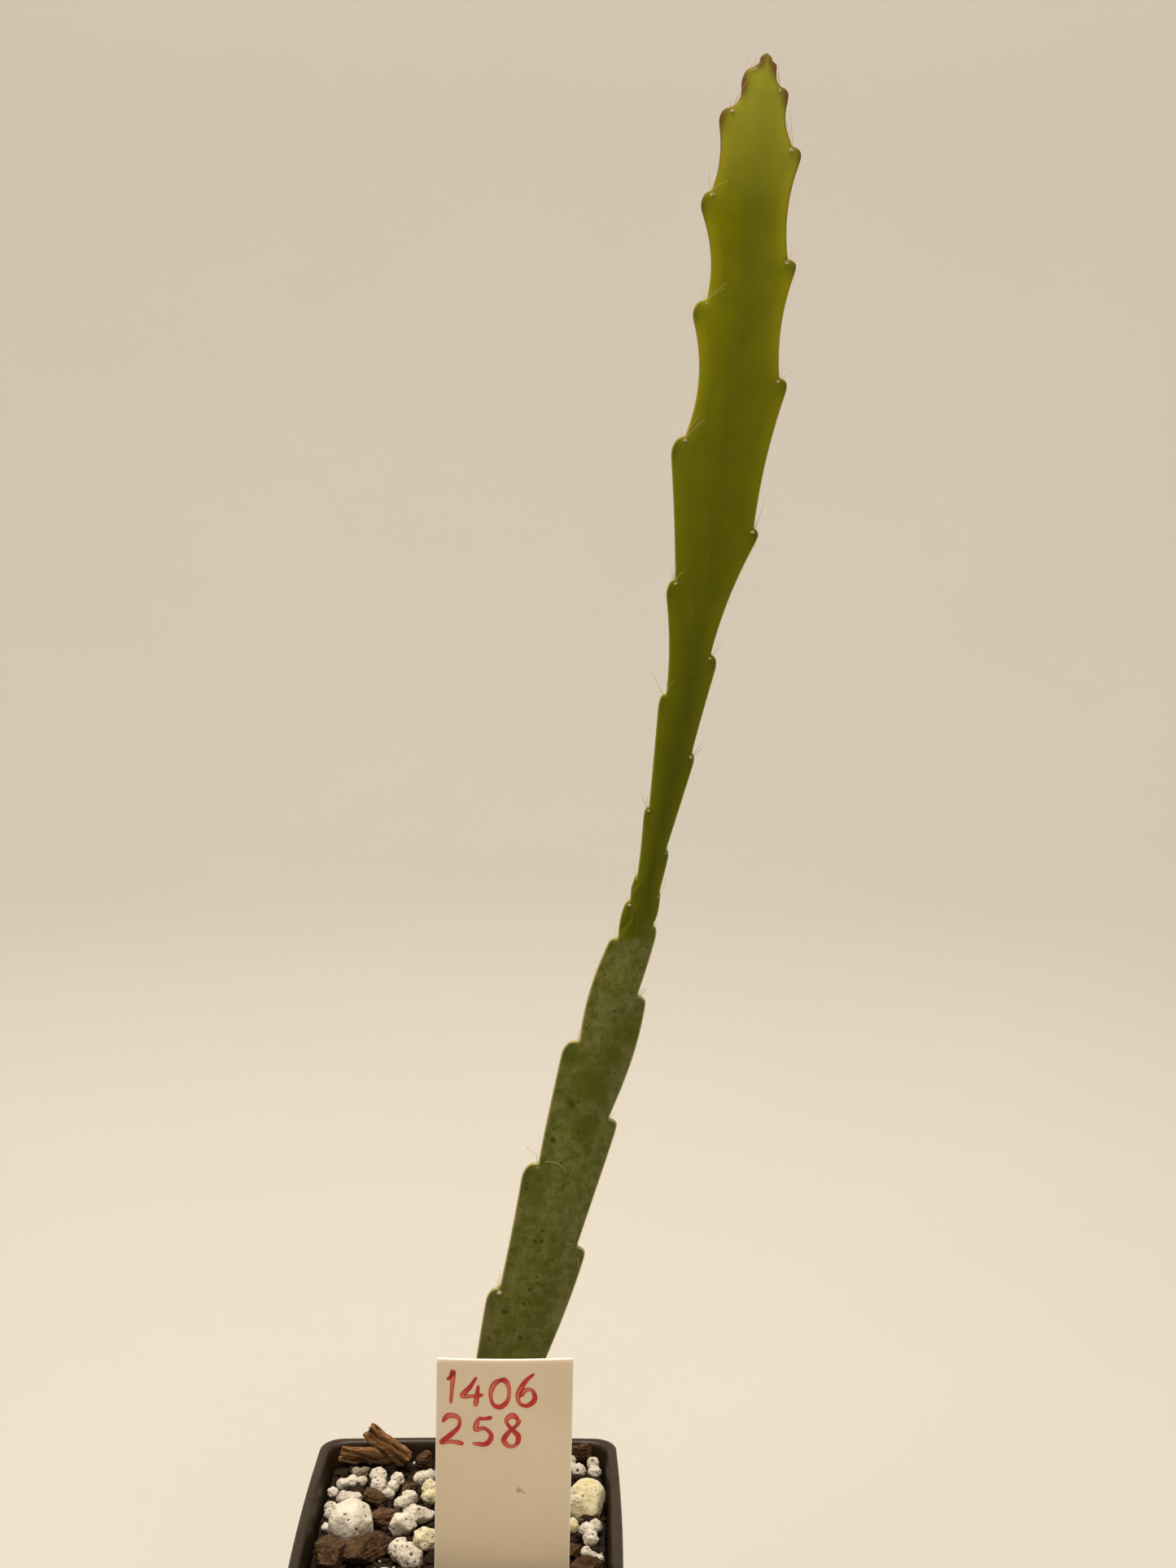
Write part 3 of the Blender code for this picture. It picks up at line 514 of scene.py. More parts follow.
def frame_at(s):
    """Point on the middle line at this length, and the ways across, back and along."""
    k = 1
    while k < len(LENGTHS) - 1 and LENGTHS[k] < s:
        k += 1
    before = LINE[max(0, k - POINTS_BACK)]
    after = LINE[min(len(LINE) - 1, k + POINTS_AHEAD)]
    along = (after - before).normalized()
    step = (LINE[k] - LINE[k - 1]).normalized()
    point = LINE[k - 1] + step * (s - LENGTHS[k - 1])
    across = Vector((along.z, 0.0, -along.x)).normalized()
    return point, across, across.cross(along).normalized() * -1.0, along


def kink(row):
    """Where along the stem a shoulder ends and the next scallop starts: a little above its cushion."""
    return row[0] + min(KINK_RISE, KINK_SHARE * (row[3] - row[0]))


def scallop(teeth, s):
    """Half width of one side at this length: each scallop swells to a crest and rounds in to a notch."""
    if s <= kink(teeth[0]):
        return teeth[0][1]
    power, root = SHOULDER_POWERS
    for k, row in enumerate(teeth):
        start = kink(row)
        notch, middle, crest, full = row[1:]
        if s <= crest:
            t = (s - start) / (crest - start)
            bend = 2.0 * (notch + full - 2.0 * middle)
            return notch + (full - notch - bend) * t + bend * t * t
        last = k + 1 == len(teeth)
        end, inner = (TIP_NOTCH, TIP_HALF_WIDTH) if last else (kink(teeth[k + 1]), teeth[k + 1][1])
        if s <= end:
            t = (s - crest) / (end - crest)
            return inner + (full - inner) * max(0.0, 1.0 - t ** power) ** root
    return TIP_HALF_WIDTH


def margin(teeth, s):
    """The scallop's half width with its crest eased and its notch kept, closed over the stem's tip."""
    left = STEM_LENGTH - s
    ends = [TIP_NOTCH] + [kink(row) for row in teeth]
    room = min([CREST_EASE, left, s] + [NOTCH_SHARE * abs(s - end) for end in ends])
    width = sum(weight * scallop(teeth, s + room * share) for share, weight in EASE_WEIGHTS)
    return width * quarter_round(left / TIP_CAP) if left < TIP_CAP else width


def skin_rows():
    """Places along the stem for the skin's rows: close together round each shoulder and at the tip."""
    places = [STEM_LENGTH * k / PLAIN_ROWS for k in range(PLAIN_ROWS + 1)]
    places += [STEM_LENGTH - TIP_CAP * (1.0 - math.sin(math.radians(turn))) for turn in CAP_TURNS]
    for teeth in (LEFT_TEETH, RIGHT_TEETH):
        for row, following in zip(teeth, teeth[1:]):
            reach = kink(following) - row[3]
            for step in range(SHOULDER_ROWS):
                places.append(row[3] + reach * math.sin(step / (SHOULDER_ROWS - 1) * QUARTER_TURN))
    places.sort()
    kept = places[:1]
    for s in places[1:]:
        if s - kept[-1] > CLOSEST_ROWS:
            kept.append(s)
    return kept


def margin_tree(teeth, places):
    """The margin as a cloud of points, to measure how far a point on the face is from it."""
    found = []
    for low, high in zip(places, places[1:]):
        a = Vector((low, margin(teeth, low), 0.0))
        b = Vector((high, margin(teeth, high), 0.0))
        parts = max(1, int((b - a).length / MARGIN_SPACING))
        found += [a + (b - a) * (k / parts) for k in range(parts)]
    tree = kdtree.KDTree(len(found))
    for index, spot in enumerate(found):
        tree.insert(spot, index)
    tree.balance()
    return tree


def calm_width(teeth):
    """The width without its scallops, as a table."""
    rows = []
    for k in range(int(STEM_LENGTH / CALM_STEP) + 1):
        near = [scallop(teeth, min(max(CALM_STEP * k + d, 0.0), STEM_LENGTH)) for d in CALM_WINDOW]
        rows.append((CALM_STEP * k, sum(near) / len(near)))
    return rows


def crest_amount(teeth, s, x):
    """One at a lobe's crest, none away from it."""
    here = Vector((s, x))
    crests = [Vector((row[3] + CREST_ABOVE, row[4] - CREST_INSIDE)) for row in teeth]
    return bell(min((here - crest).length for crest in crests), CREST_WIDTH)


def vein(teeth, s, share):
    """Height of the shallow vein that runs from the midrib up to each cushion on one side."""
    left = max(0.0, 1.0 - share)
    rise = VEIN_RISE * left ** VEIN_POWER
    best = max(bell(abs(s - (row[0] - VEIN_BELOW - rise)), VEIN_WIDTH) for row in teeth[1:])
    return best * left * min(1.0, share * VEIN_START)


def wing_fold(s, x):
    """The soft crease that runs down the old segment's right wing to its cushion."""
    low, high = WING_FOLD
    if not low < s < high or x <= 0.0:
        return 0.0
    share = (s - low) / (high - low)
    return bell(x - (WING_FOLD_PLACE - WING_FOLD_DRIFT * share), WING_FOLD_WIDTH) * math.sin(math.pi * share)


def waist_fold(s, x):
    """The second rib's face that shows on the left of the waist, behind a thin pale edge."""
    low, high = WAIST_FOLD
    if not low < s < high:
        return 0.0
    sway = math.sin((s - WAIST_FOLD_START) / WAIST_FOLD_WAVE * math.pi * 2.0)
    line = WAIST_FOLD_PLACE - WAIST_FOLD_SWAY * sway
    return bell(x - line, WAIST_FOLD_WIDTH) * math.sin((s - low) / (high - low) * math.pi)


# Each fold on the front: its rule, the height of its ridge, the depth of its furrow, how far apart they are.
FOLDS = ((wing_fold, 0.35, 0.30, 0.90), (waist_fold, 0.45, 0.35, 0.75))


def side_columns(width):
    """Distances from the middle line, from the margin in to the first column beside the middle."""
    squeeze = min(1.0, width / NARROW_SIDE)
    outer = [width - d * squeeze for d in reversed(MARGIN_STEPS)]
    inner = outer[-1]
    return outer + [inner * k / INNER_COLUMNS for k in range(INNER_COLUMNS - 1, 0, -1)]


def stem(look):
    """The whole cutting as one fine skin."""
    places = skin_rows()
    sides = []
    for teeth, column in ((LEFT_TEETH, 1), (RIGHT_TEETH, 2)):
        sides.append((teeth, column, margin_tree(teeth, places), calm_width(teeth)))
    points = []
    values = []

    def add_point(here, s, x, face):
        point, across, back, middle, thin, rib = here
        teeth, column, tree, calm = sides[0] if x < 0.0 else sides[1]
        reach = abs(x)
        share = min(WIDEST_SHARE, reach / max(LEAST_WIDTH, between(calm, s)))
        rim = tree.find((s, reach, 0.0))[2]
        lens = MIDRIB_HUMP * bell(share, MIDRIB_WIDTH) + BLADE_HUMP * max(0.0, 1.0 - share * share)
        half = thin + (middle - thin) * lens + VEIN_HEIGHT * vein(teeth, s, share)
        stand = 0.0
        if face > 0.0:
            stand = rib * bell(share, RIB_WIDTH)
        else:
            for fold, ridge, furrow, apart in FOLDS:
                half += ridge * fold(s, x) - furrow * fold(s, x + apart)
        inset = min(1.0, rim / MARGIN_ROUNDING)
        half *= quarter_round(inset)
        spot = Vector((s * WAVE_ALONG, x * WAVE_ACROSS, face * WAVE_FACES_APART))
        wave = noise.noise(spot) * WAVE_HEIGHT * inset
        depth = between(WING_BEND, s, column) * share * share + face * (half + stand + wave)
        sideways = x * (1.0 - RIB_PINCH * stand) - BACK_RIB_LEAN * stand
        points.append(point + across * sideways + back * depth)
        join = s - OLD_TOP - OLD_TOP_RISE * x
        values.append((s, min(1.0, share), rim, crest_amount(teeth, s, reach), join))

    for s in places:
        point, across, back, along = frame_at(s)
        point += along * (TIP_RISE * held((s - STEM_LENGTH) / TIP_RISE_LENGTH + 1.0))
        middle, thin = between(THICKNESS, s, 1), between(THICKNESS, s, 2)
        here = (point, across, back, middle, thin, between(BACK_RIB, s))
        left = [-x for x in side_columns(margin(LEFT_TEETH, s))]
        row = left + [0.0] + side_columns(margin(RIGHT_TEETH, s))[::-1]
        for x in row:
            add_point(here, s, x, -1.0)
        for x in row[-2:0:-1]:
            add_point(here, s, x, 1.0)
    faces = ring_faces(len(places), len(points) // len(places))
    obj = new_mesh_object("stem_skin", points, faces, look)
    for name, numbers in zip(("along", "edge", "rim", "crest", "join"), zip(*values)):
        add_values(obj, name, numbers)
    return obj


def old_skin(n, fine):
    """The lower segment's colour: grey-green, mottled, with a whitish bloom, olive patches and spots."""
    along = n.value("along")
    soft = n.noise(150.0, 4.0)
    mottle = n.noise(560.0, 5.0, 0.72)
    wax = n.noise(150.0, 7.0, 0.76, n.stretched((1.6, 1.0, 0.5), (0.0, math.radians(-15.0), 0.0)))
    wobble = n.ramp(n.noise(500.0, 3.0), 0.3, 0.7, -0.0009, 0.0009)
    patch = n.times(n.blots(PATCHES, -3.0, wobble, 0.5), n.ramp(mottle, 0.36, 0.56, 0.45, 0.95))
    blotch = n.ramp(n.noise(95.0, 5.0, 0.62), 0.54, 0.64, 0.0, 0.60)
    tremble = n.ramp(fine, 0.3, 0.7, -0.00022, 0.00022)
    return n.layers(
        n.mix(n.ramp(soft, 0.36, 0.64), (0.106, 0.119, 0.021), (0.142, 0.150, 0.034)),
        (n.ramp(mottle, 0.50, 0.62, 0.0, 0.60), (0.198, 0.191, 0.070)),
        (n.ramp(mottle, 0.40, 0.50, 0.60, 0.0), (0.073, 0.084, 0.005)),
        (n.ramp(wax, 0.52, 0.66, 0.0, 0.55), (0.236, 0.218, 0.110)),
        (patch, (0.082, 0.092, 0.004)),
        (n.times(blotch, n.ramp(along, 45.0, 95.0, 0.30, 1.0)), (0.080, 0.096, 0.010)),
        (n.ramp(along, 45.0, 95.0, 0.22, 0.0), (0.178, 0.166, 0.052)),
        (n.times(n.specks(620.0, 0.12, 0.34), 0.8), (0.036, 0.048, 0.008)),
        # Painted shade at each lobe's crest, where the lobe turns away.
        (n.times(n.value("crest"), 0.40), (0.062, 0.082, 0.010)),
        (n.times(n.blots(SPOTS, -3.0, tremble, 0.35), 0.80), (0.036, 0.046, 0.005)),
        (n.ramp(n.value("rim"), 0.14, 0.34, 0.90, 0.0), (0.460, 0.410, 0.190)),
    )


def young_skin(n):
    """The new growth's colour: yellow-green, with painted backlight that leaves it darker along the thick
    midrib and brighter towards the thin edges, and reddish at the tip's lobes.
    """
    along = n.value("along")
    rim = n.value("rim")
    crest = n.value("crest")
    streak = n.noise(330.0, 3.0, 0.5, n.stretched((3.0, 1.0, 0.12), (0.0, math.radians(-10.0), 0.0)))
    lift = n.ramp(along, 185.0, 285.0)
    low = n.mix(lift, (0.076, 0.085, 0.0002), (0.156, 0.162, 0.0002))
    high = n.mix(lift, (0.086, 0.100, 0.0003), (0.218, 0.230, 0.0004))
    # Painted backlight: the thin edges of the upper stem brighter, as light shines through them.
    painted_backlight = n.times(n.ramp(rim, 0.25, 2.4, 1.0, 0.0), n.ramp(along, 225.0, 305.0, 0.12, 0.80))
    lobe = n.times(n.times(n.ramp(rim, 0.3, 2.8, 1.0, 0.0), crest), n.ramp(along, 170.0, 235.0, 0.3, 0.70))
    red_edge = n.times(n.ramp(rim, 0.02, 0.50, 1.0, 0.0), n.ramp(along, 270.0, 306.0, 0.0, 0.85))
    pale_edge = n.times(n.ramp(rim, 0.14, 0.30, 1.0, 0.0), n.ramp(along, 262.0, 286.0, 0.55, 0.0))
    wine = n.times(n.ramp(rim, 0.3, 1.5, 1.0, 0.0), n.times(crest, n.ramp(along, 296.0, 307.0, 0.0, 0.95)))
    return n.layers(
        # Painted backlight: darker along the thick midrib, brighter towards the thin edges.
        n.mix(n.ramp(n.value("edge"), 0.10, 0.80), low, high),
        (n.times(n.ramp(streak, 0.35, 0.65), 0.08), (0.235, 0.250, 0.002)),
        (n.ramp(n.noise(160.0, 4.0), 0.38, 0.66, 0.0, 0.20), (0.072, 0.084, 0.0003)),
        (painted_backlight, (0.370, 0.335, 0.008)),
        (n.ramp(along, 286.0, 311.0, 0.0, 0.85), (0.385, 0.395, 0.040)),
        # Painted shade at the crests of the lobes near the edge.
        (lobe, (0.062, 0.080, 0.004)),
        (n.times(n.specks(700.0, 0.05, 0.26, 0.08), 0.40), (0.300, 0.310, 0.060)),
        (red_edge, (0.170, 0.070, 0.016)),
        (pale_edge, (0.330, 0.320, 0.040)),
        (wine, (0.190, 0.085, 0.030)),
    )


def stem_material():
    """Waxy skin, in its two colours, which meet in a mottled line at the waist."""
    n = Nodes("stem_skin_look", 0.5, 0.09)
    fine = n.noise(900.0, 3.0)
    ragged = n.ramp(n.noise(520.0, 6.0, 0.80), 0.32, 0.68, -3.4, 2.4)
    join = n.ramp(n.plus(n.value("join"), ragged), -1.5, 1.3)
    n.surface("Base Color", n.mix(join, old_skin(n, fine), young_skin(n)))
    n.surface("Roughness", n.ramp(fine, 0.3, 0.7, 0.40, 0.58))
    n.bump(n.plus(n.times(fine, 0.5), n.times(n.noise(2600.0, 2.0), 0.35)), 0.00012, 0.6)
    n.surface("Subsurface Weight", 0.10)
    n.surface("Subsurface Radius", (0.9, 1.0, 0.2))
    n.surface("Subsurface Scale", 0.0015)
    return n.material


# The hairs and the felt: millimetres. Felt is smaller on the new growth.
HAIR_ROOT = 0.070
HAIR_TIP = 0.028
HAIR_TOP = cad_box[1].z / MM + 0.6
HAIR_SIDES = 4
HAIR_STEPS = 5
HAIR_START = Vector((0.0, -0.15, 0.0))
HAIR_SEED = 11
CUSHION_OUT = 0.05
FELT_HAIRS = 72
FELT_RADII = (0.075, 0.030)
FELT_SIZES = (0.55, 0.42)
FELT_DEPTH = 0.12
LOOSE_HAIRS = (1, 2, 2, 3)
LOOSE_LENGTHS = (2.0, 4.6)
LOOSE_STEPS = 8
LOOSE_BEND = 0.3


def tube(points, faces, line, radii, sides):
    """Adds a thin tube along a line of points to a growing mesh."""
    base = len(points)
    for k, (centre, radius) in enumerate(zip(line, radii)):
        along = way_at(line, k)
        side = along.orthogonal().normalized()
        other = along.cross(side)
        for i in range(sides):
            angle = 2.0 * math.pi * i / sides
            points.append(centre + side * (radius * math.cos(angle)) + other * (radius * math.sin(angle)))
    faces += ring_faces(len(line), sides, base)


def cushion(sign, index):
    """Where a felt cushion sits, with the ways out, back and along there."""
    teeth, column = (LEFT_TEETH, 1) if sign < 0 else (RIGHT_TEETH, 2)
    place, notch = teeth[index][:2]
    point, across, back, along = frame_at(place)
    centre = point + across * (sign * (notch + CUSHION_OUT)) + back * between(WING_BEND, place, column)
    return centre, across * sign, back, along, place


def add_hair(points, faces, line):
    count = len(line) - 1
    radii = [HAIR_ROOT + (HAIR_TIP - HAIR_ROOT) * k / count for k in range(count + 1)]
    tube(points, faces, [Vector((p.x, p.y, min(p.z, HAIR_TOP))) for p in line], radii, HAIR_SIDES)


def seen_hairs(points, faces):
    """The hairs that the photograph shows, each from its own cushion."""
    for sign, index, forward, *stretches in HAIRS:
        knots = [cushion(sign, index)[0] + HAIR_START]
        total = sum(length for _, length in stretches)
        for lean, length in stretches:
            angle = math.radians(lean)
            step = Vector((math.sin(angle) * length, -forward * length / total, math.cos(angle) * length))
            knots.append(knots[-1] + step)
        add_hair(points, faces, curve_through(knots, HAIR_STEPS))


def bristles(look, felt_look):
    """Hair-fine bristles and short felt in every notch."""
    draw = random.Random(HAIR_SEED)
    hairs = ([], [])
    felts = ([], [])
    seen_hairs(*hairs)
    for sign in (-1, 1):
        for index in range(1, len(LEFT_TEETH)):
            centre, out, back, along, place = cushion(sign, index)
            size = FELT_SIZES[0] if place < OLD_TOP else FELT_SIZES[1]
            thin = between(THICKNESS, place, 2)
            for k in range(FELT_HAIRS):
                front = -thin - FELT_DEPTH if k % 3 else draw.uniform(-thin, thin)
                sideways = back * draw.uniform(-1.1, 0.3) + along * draw.uniform(-0.2, 1.0)
                heading = (out * draw.uniform(-0.4, 1.0) + sideways).normalized()
                inward = out * draw.uniform(0.15, 0.50)
                root = centre - inward + back * front + along * draw.uniform(-0.1, 0.2)
                tube(*felts, [root, root + heading * size * draw.uniform(0.4, 1.0)], FELT_RADII, 3)
            for _ in range(draw.choice(LOOSE_HAIRS)):
                heading = out * draw.uniform(-0.3, 0.7) + along * draw.uniform(0.7, 1.2)
                heading = (heading + back * draw.uniform(0.15, 0.7)).normalized()
                bend = (out * draw.uniform(-0.6, 0.5) + back * draw.uniform(-0.2, 0.5)) * LOOSE_BEND
                length = draw.uniform(*LOOSE_LENGTHS)
                shares = [k / LOOSE_STEPS for k in range(LOOSE_STEPS + 1)]
                add_hair(*hairs, [centre + heading * (length * t) + bend * (length * t * t) for t in shares])
    return new_mesh_object("stem_bristles", *hairs, look), new_mesh_object("stem_felt", *felts, felt_look)


def fibre_material(name, roughness, scale, dark, light):
    """Fine fibres in two shades."""
    n = Nodes(name, roughness)
    n.surface("Base Color", n.mix(n.ramp(n.noise(scale), 0.35, 0.65), dark, light))
    return n.material


# The pot, as in the part's source: millimetres.
POT_HEIGHT = 60.0
POT_FLOOR = 1.2
RIM_HALF = 32.0
RIM_CORNER = 4.6
COLLAR_HEIGHT = 6.2
BASE_HALF = 22.0
BASE_CORNER = 3.8
WALL = 0.9
INNER_TOP_HALF = 29.9
INNER_BASE_HALF = 21.1
SIDE_BOW = 0.5
DRAIN_OFFSET = 12.0
DRAIN_RADIUS = 3.5
MIX_TOP = 55.4
POT_ARC_STEPS = 14
POT_SIDE_STEPS = 9
POT_ROUNDING = 0.9
POT_CENTRE = 0.3
DRAIN_SIDES = 40
DRAIN_DEPTH = 6.0
POT_SHARP = math.radians(50.0)


def inner_half(height):
    share = (height - POT_FLOOR) / (POT_HEIGHT - POT_FLOOR)
    return INNER_BASE_HALF + (INNER_TOP_HALF - INNER_BASE_HALF) * share


def bowed_square(half, height):
    """Points round a square with round corners, whose sides bow out."""
    corner = BASE_CORNER + (RIM_CORNER - BASE_CORNER) * height / POT_HEIGHT
    bow = SIDE_BOW * height / POT_HEIGHT
    flat = half - corner
    side = []
    for k in range(1, POT_SIDE_STEPS + 1):
        t = 2.0 * k / (POT_SIDE_STEPS + 1) - 1.0
        side.append(Vector((half + bow * (1.0 - t * t), t * flat)))
    for step in range(POT_ARC_STEPS + 1):
        angle = step / POT_ARC_STEPS * QUARTER_TURN
        side.append(Vector((flat + corner * math.cos(angle), flat + corner * math.sin(angle))))
    ring = []
    for turn in range(4):
        spin = Matrix.Rotation(turn * QUARTER_TURN, 2)
        ring += [Vector((*(spin @ point), height)) for point in side]
    return ring


def rounded(profile, radius):
    """A profile's corners as short arcs. Its two ends only give their neighbours a direction."""
    result = []
    for before, here, after in zip(profile, profile[1:], profile[2:]):
        h = Vector(here)
        a = Vector(before) - h
        b = Vector(after) - h
        cut = min(radius, a.length * 0.45, b.length * 0.45)
        start = h + a.normalized() * cut
        end = h + b.normalized() * cut
        for t in (0.0, 0.25, 0.5, 0.75, 1.0):
            result.append(start * (1.0 - t) ** 2 + h * (2.0 * t * (1.0 - t)) + end * t * t)
    return result


def pot(look):
    """The pot's thin wall, collar and rolled rim, with its drain holes."""
    collar = POT_HEIGHT - COLLAR_HEIGHT
    profile = [
        (POT_CENTRE, 0.0),
        (BASE_HALF - 5.0, 0.0),
        (BASE_HALF, 0.0),
        (inner_half(20.0) + WALL, 20.0),
        (inner_half(38.0) + WALL, 38.0),
        (inner_half(collar) + WALL, collar),
        (RIM_HALF - 0.75, collar + 0.25),
        (RIM_HALF - 0.1, POT_HEIGHT - 3.0),
        (RIM_HALF, POT_HEIGHT),
        (INNER_TOP_HALF + 0.05, POT_HEIGHT),
        (inner_half(POT_HEIGHT - 3.0), POT_HEIGHT - 3.0),
        (inner_half(38.0), 38.0),
        (inner_half(20.0), 20.0),
        (INNER_BASE_HALF, POT_FLOOR),
        (INNER_BASE_HALF - 5.0, POT_FLOOR),
        (POT_CENTRE, POT_FLOOR),
    ]
    rings = [bowed_square(*corner) for corner in rounded(profile, POT_ROUNDING)]
    points = [point for ring in rings for point in ring]
    body = new_mesh_object("pot_shell", points, ring_faces(len(rings), len(rings[0])), look)
    cutters = []
    radius = DRAIN_RADIUS * MM
    for x in (-DRAIN_OFFSET, DRAIN_OFFSET):
        for y in (-DRAIN_OFFSET, DRAIN_OFFSET):
            work = bmesh.new()
            bmesh.ops.create_cone(work, cap_ends=True, segments=DRAIN_SIDES, radius1=radius, radius2=radius,
                                  depth=DRAIN_DEPTH * MM)
            bmesh.ops.translate(work, verts=work.verts, vec=Vector((x, y, 0.0)) * MM)
            cutters.append(linked("drain", baked("drain", work)))
            cut = body.modifiers.new("drain", "BOOLEAN")
            cut.operation = "DIFFERENCE"
            cut.object = cutters[-1]
    apply_modifiers(body)
    for cutter in cutters:
        bpy.data.objects.remove(cutter, do_unlink=True)
    smooth(body.data)
    body.data.set_sharp_from_angle(angle=POT_SHARP)
    return body


def pot_material():
    """Dark recycled plastic: satin, faintly mottled, with fine scuffs, dust and one pale scratch."""
    n = Nodes("pot_plastic_look", 0.4, 0.35)
    scuff = n.noise(900.0, 5.0, 0.75, n.stretched((1.0, 1.0, 0.15)))
    scratch = n.distance(n.stretched((0.25, 1.0, 1.0)), (-0.0079, 0.0105, 0.0588))
    n.surface("Base Color", n.layers(
        n.mix(n.ramp(n.noise(70.0, 4.0), 0.35, 0.65), (0.0190, 0.0104, 0.0036), (0.029, 0.0165, 0.0066)),
        (n.ramp(scuff, 0.60, 0.80, 0.0, 0.25), (0.085, 0.058, 0.034)),
        (n.times(n.specks(420.0, 0.03, 0.13, 0.06), 0.5), (0.30, 0.26, 0.20)),
        (n.ramp(scratch, 0.00016, 0.00030, 0.8, 0.0), (0.55, 0.50, 0.42)),
    ))
    n.surface("Roughness", n.ramp(n.noise(300.0, 4.0), 0.3, 0.7, 0.36, 0.52))
    n.bump(n.noise(1800.0, 3.0), 0.00006, 0.5)
    return n.material


def grown(name, node, voxel, relax, look, share=1.0):
    """A fine closed skin over a CAD node's shape, which first keeps only this share of its faces."""
    work = bmesh.new()
    work.from_mesh(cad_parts[node].data)
    bmesh.ops.remove_doubles(work, verts=work.verts, dist=1e-6)
    obj = linked(name, baked(name, work))
    if share < 1.0:
        obj.modifiers.new("cut", "DECIMATE").ratio = share
    remesh = obj.modifiers.new("remesh", "REMESH")
    remesh.mode = "VOXEL"
    remesh.voxel_size = voxel * MM
    calm = obj.modifiers.new("calm", "SMOOTH")
    calm.factor = 0.5
    calm.iterations = relax
    apply_modifiers(obj)
    obj.data.materials.clear()
    obj.data.materials.append(look)
    return obj


def shaped(obj, rule):
    """Moves each point by what the rule says, in millimetres, and keeps what the rule gives as painted shade
    for the material.
    """
    mesh = obj.data
    normals = [v.normal.copy() for v in mesh.vertices]
    shade_marks = []
    for vert, normal in zip(mesh.vertices, normals):
        shift, shade_mark = rule(vert.co / MM, normal)
        vert.co += shift * MM
        shade_marks.append(shade_mark)
    mesh.update()
    smooth(mesh)
    add_values(obj, "shade_mark", shade_marks)
    return obj


YELLOWED = {"perlite_10", "perlite_11", "perlite_14", "perlite_17"}
# Pieces that lie in shade, which get a dark copy of the perlite: painted shade, with some dirt.
SHADED_PERLITE = {"perlite_20", "perlite_24"}
REDDISH_BARK = {"bark_05", "bark_09", "bark_12"}
LARGE_PERLITE = 6.0
# How each kind is grown: the voxel, the rounds of smoothing and, for perlite, the share of faces kept.
LARGE_SKIN = (0.19, 4, 0.16)
SMALL_SKIN = (0.15, 3, 0.42)
STRIP_SKIN = (0.15, 1)
BARK_SKIN = (0.16, 1)
MIX_SKIN = (0.42, 1)
# How each kind of grain is cut and swelled, and how close together two cuts of a chip may point.
BARK_CUTS = 8
BARK_TRIM = 0.92
BARK_SWELL = 1.38
STRIP_SWELL = 1.40
BLOCK_SWELL = 1.17
BLOCK_SOFTNESS = 0.4
CUT_SOFTNESS = 0.05
NEAREST_WAYS = 0.60
# The pieces of perlite that are rough blocks, and how far each is turned.
BLOCKS = {"perlite_01": 0.0, "perlite_14": 160.0}
# Cuts that make a block of a large piece of perlite: a way out and the share of the reach that stays.
BLOCK_CUTS = (
    (0.05, -0.15, 1.0, 0.84),
    (-1.0, -0.05, 0.12, 0.92),
    (1.0, 0.15, 0.10, 0.93),
    (-0.30, -1.0, 0.30, 0.95),
    (0.60, -0.75, 0.10, 0.93),
    (-0.62, -0.20, 0.66, 0.97),
    (0.70, -0.10, 0.66, 0.95),
    (0.0, 1.0, 0.2, 0.92),
    (-0.5, 0.6, 0.6, 0.95),
)
# Noises on the surfaces, in millimetres: how often each repeats and how high it stands.
PERLITE_SWELLS = ((0.6, 0.18), (1.4, 0.16))
PERLITE_GRAINS = ((3.0, 0.08), (7.0, 0.045))
CREASE_EDGE = 0.09
CREASE_DEPTH = 0.20
PIT_EDGE = 0.08
PIT_DEPTH = 0.36
BARK_LAYERS = ((0.55, 0.9), (2.1, 0.16))
BARK_GRIT = ((1.6, 0.14), (5.0, 0.07))
MIX_CLODS = ((0.9, 0.22), (2.1, 0.20), (4.6, 0.14))


def spread_ways(count, seed):
    """Unit vectors that point all round, no two of them close together."""
    draw = random.Random(seed)
    ways = []
    while len(ways) < count:
        way = Vector((draw.gauss(0.0, 1.0), draw.gauss(0.0, 1.0), draw.gauss(0.0, 1.0))).normalized()
        if all(way.dot(other) < NEAREST_WAYS for other in ways):
            ways.append(way)
    return ways


def node_points(node):
    """A CAD node's points and their middle, in millimetres."""
    points = [vert.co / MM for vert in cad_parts[node].data.vertices]
    return points, sum(points, Vector()) / len(points)


def long_way(node):
    """The level direction in which a CAD node is longest."""
    points, middle = node_points(node)
    offsets = [p - middle for p in points]
    spread_x = sum(p.x * p.x for p in offsets)
    spread_y = sum(p.y * p.y for p in offsets)
    both = sum(p.x * p.y for p in offsets)
    angle = 0.5 * math.atan2(2.0 * both, spread_x - spread_y)
    return Vector((math.cos(angle), math.sin(angle), 0.0))


def chip_ways(node, along, seed):
    """Ways to slice a bark chip: spread all round, and turned towards its broad faces."""
    points, middle = node_points(node)
    axes = (along, along.cross(UP), UP)
    halves = [max((p - middle).dot(axis) for p in points) for axis in axes]
    ways = []
    for way in spread_ways(BARK_CUTS, seed):
        turned = [axis * (part / half) for axis, part, half in zip(axes, way, halves)]
        ways.append(sum(turned, Vector()).normalized())
    return ways


def block_ways(turn):
    """Ways to slice a lump of perlite into a rough block, turned about the upright by this many degrees."""
    spin = Matrix.Rotation(math.radians(turn), 3, "Z")
    return [(spin @ Vector(way).normalized(), share) for *way, share in BLOCK_CUTS]


def chopped(node, swell, cuts, soft=CUT_SOFTNESS):
    """Swells a CAD node's shape about its middle and slices it flat: each cut is a way and a share."""
    points, middle = node_points(node)
    slices = [(way, share * max((p - middle).dot(way) for p in points)) for way, share in cuts]

    def moved(p):
        q = (p - middle) * swell
        for way, reach in slices:
            over = max(0.0, q.dot(way) - reach)
            q -= way * (over * over / (over + soft))
        return q + middle

    return moved


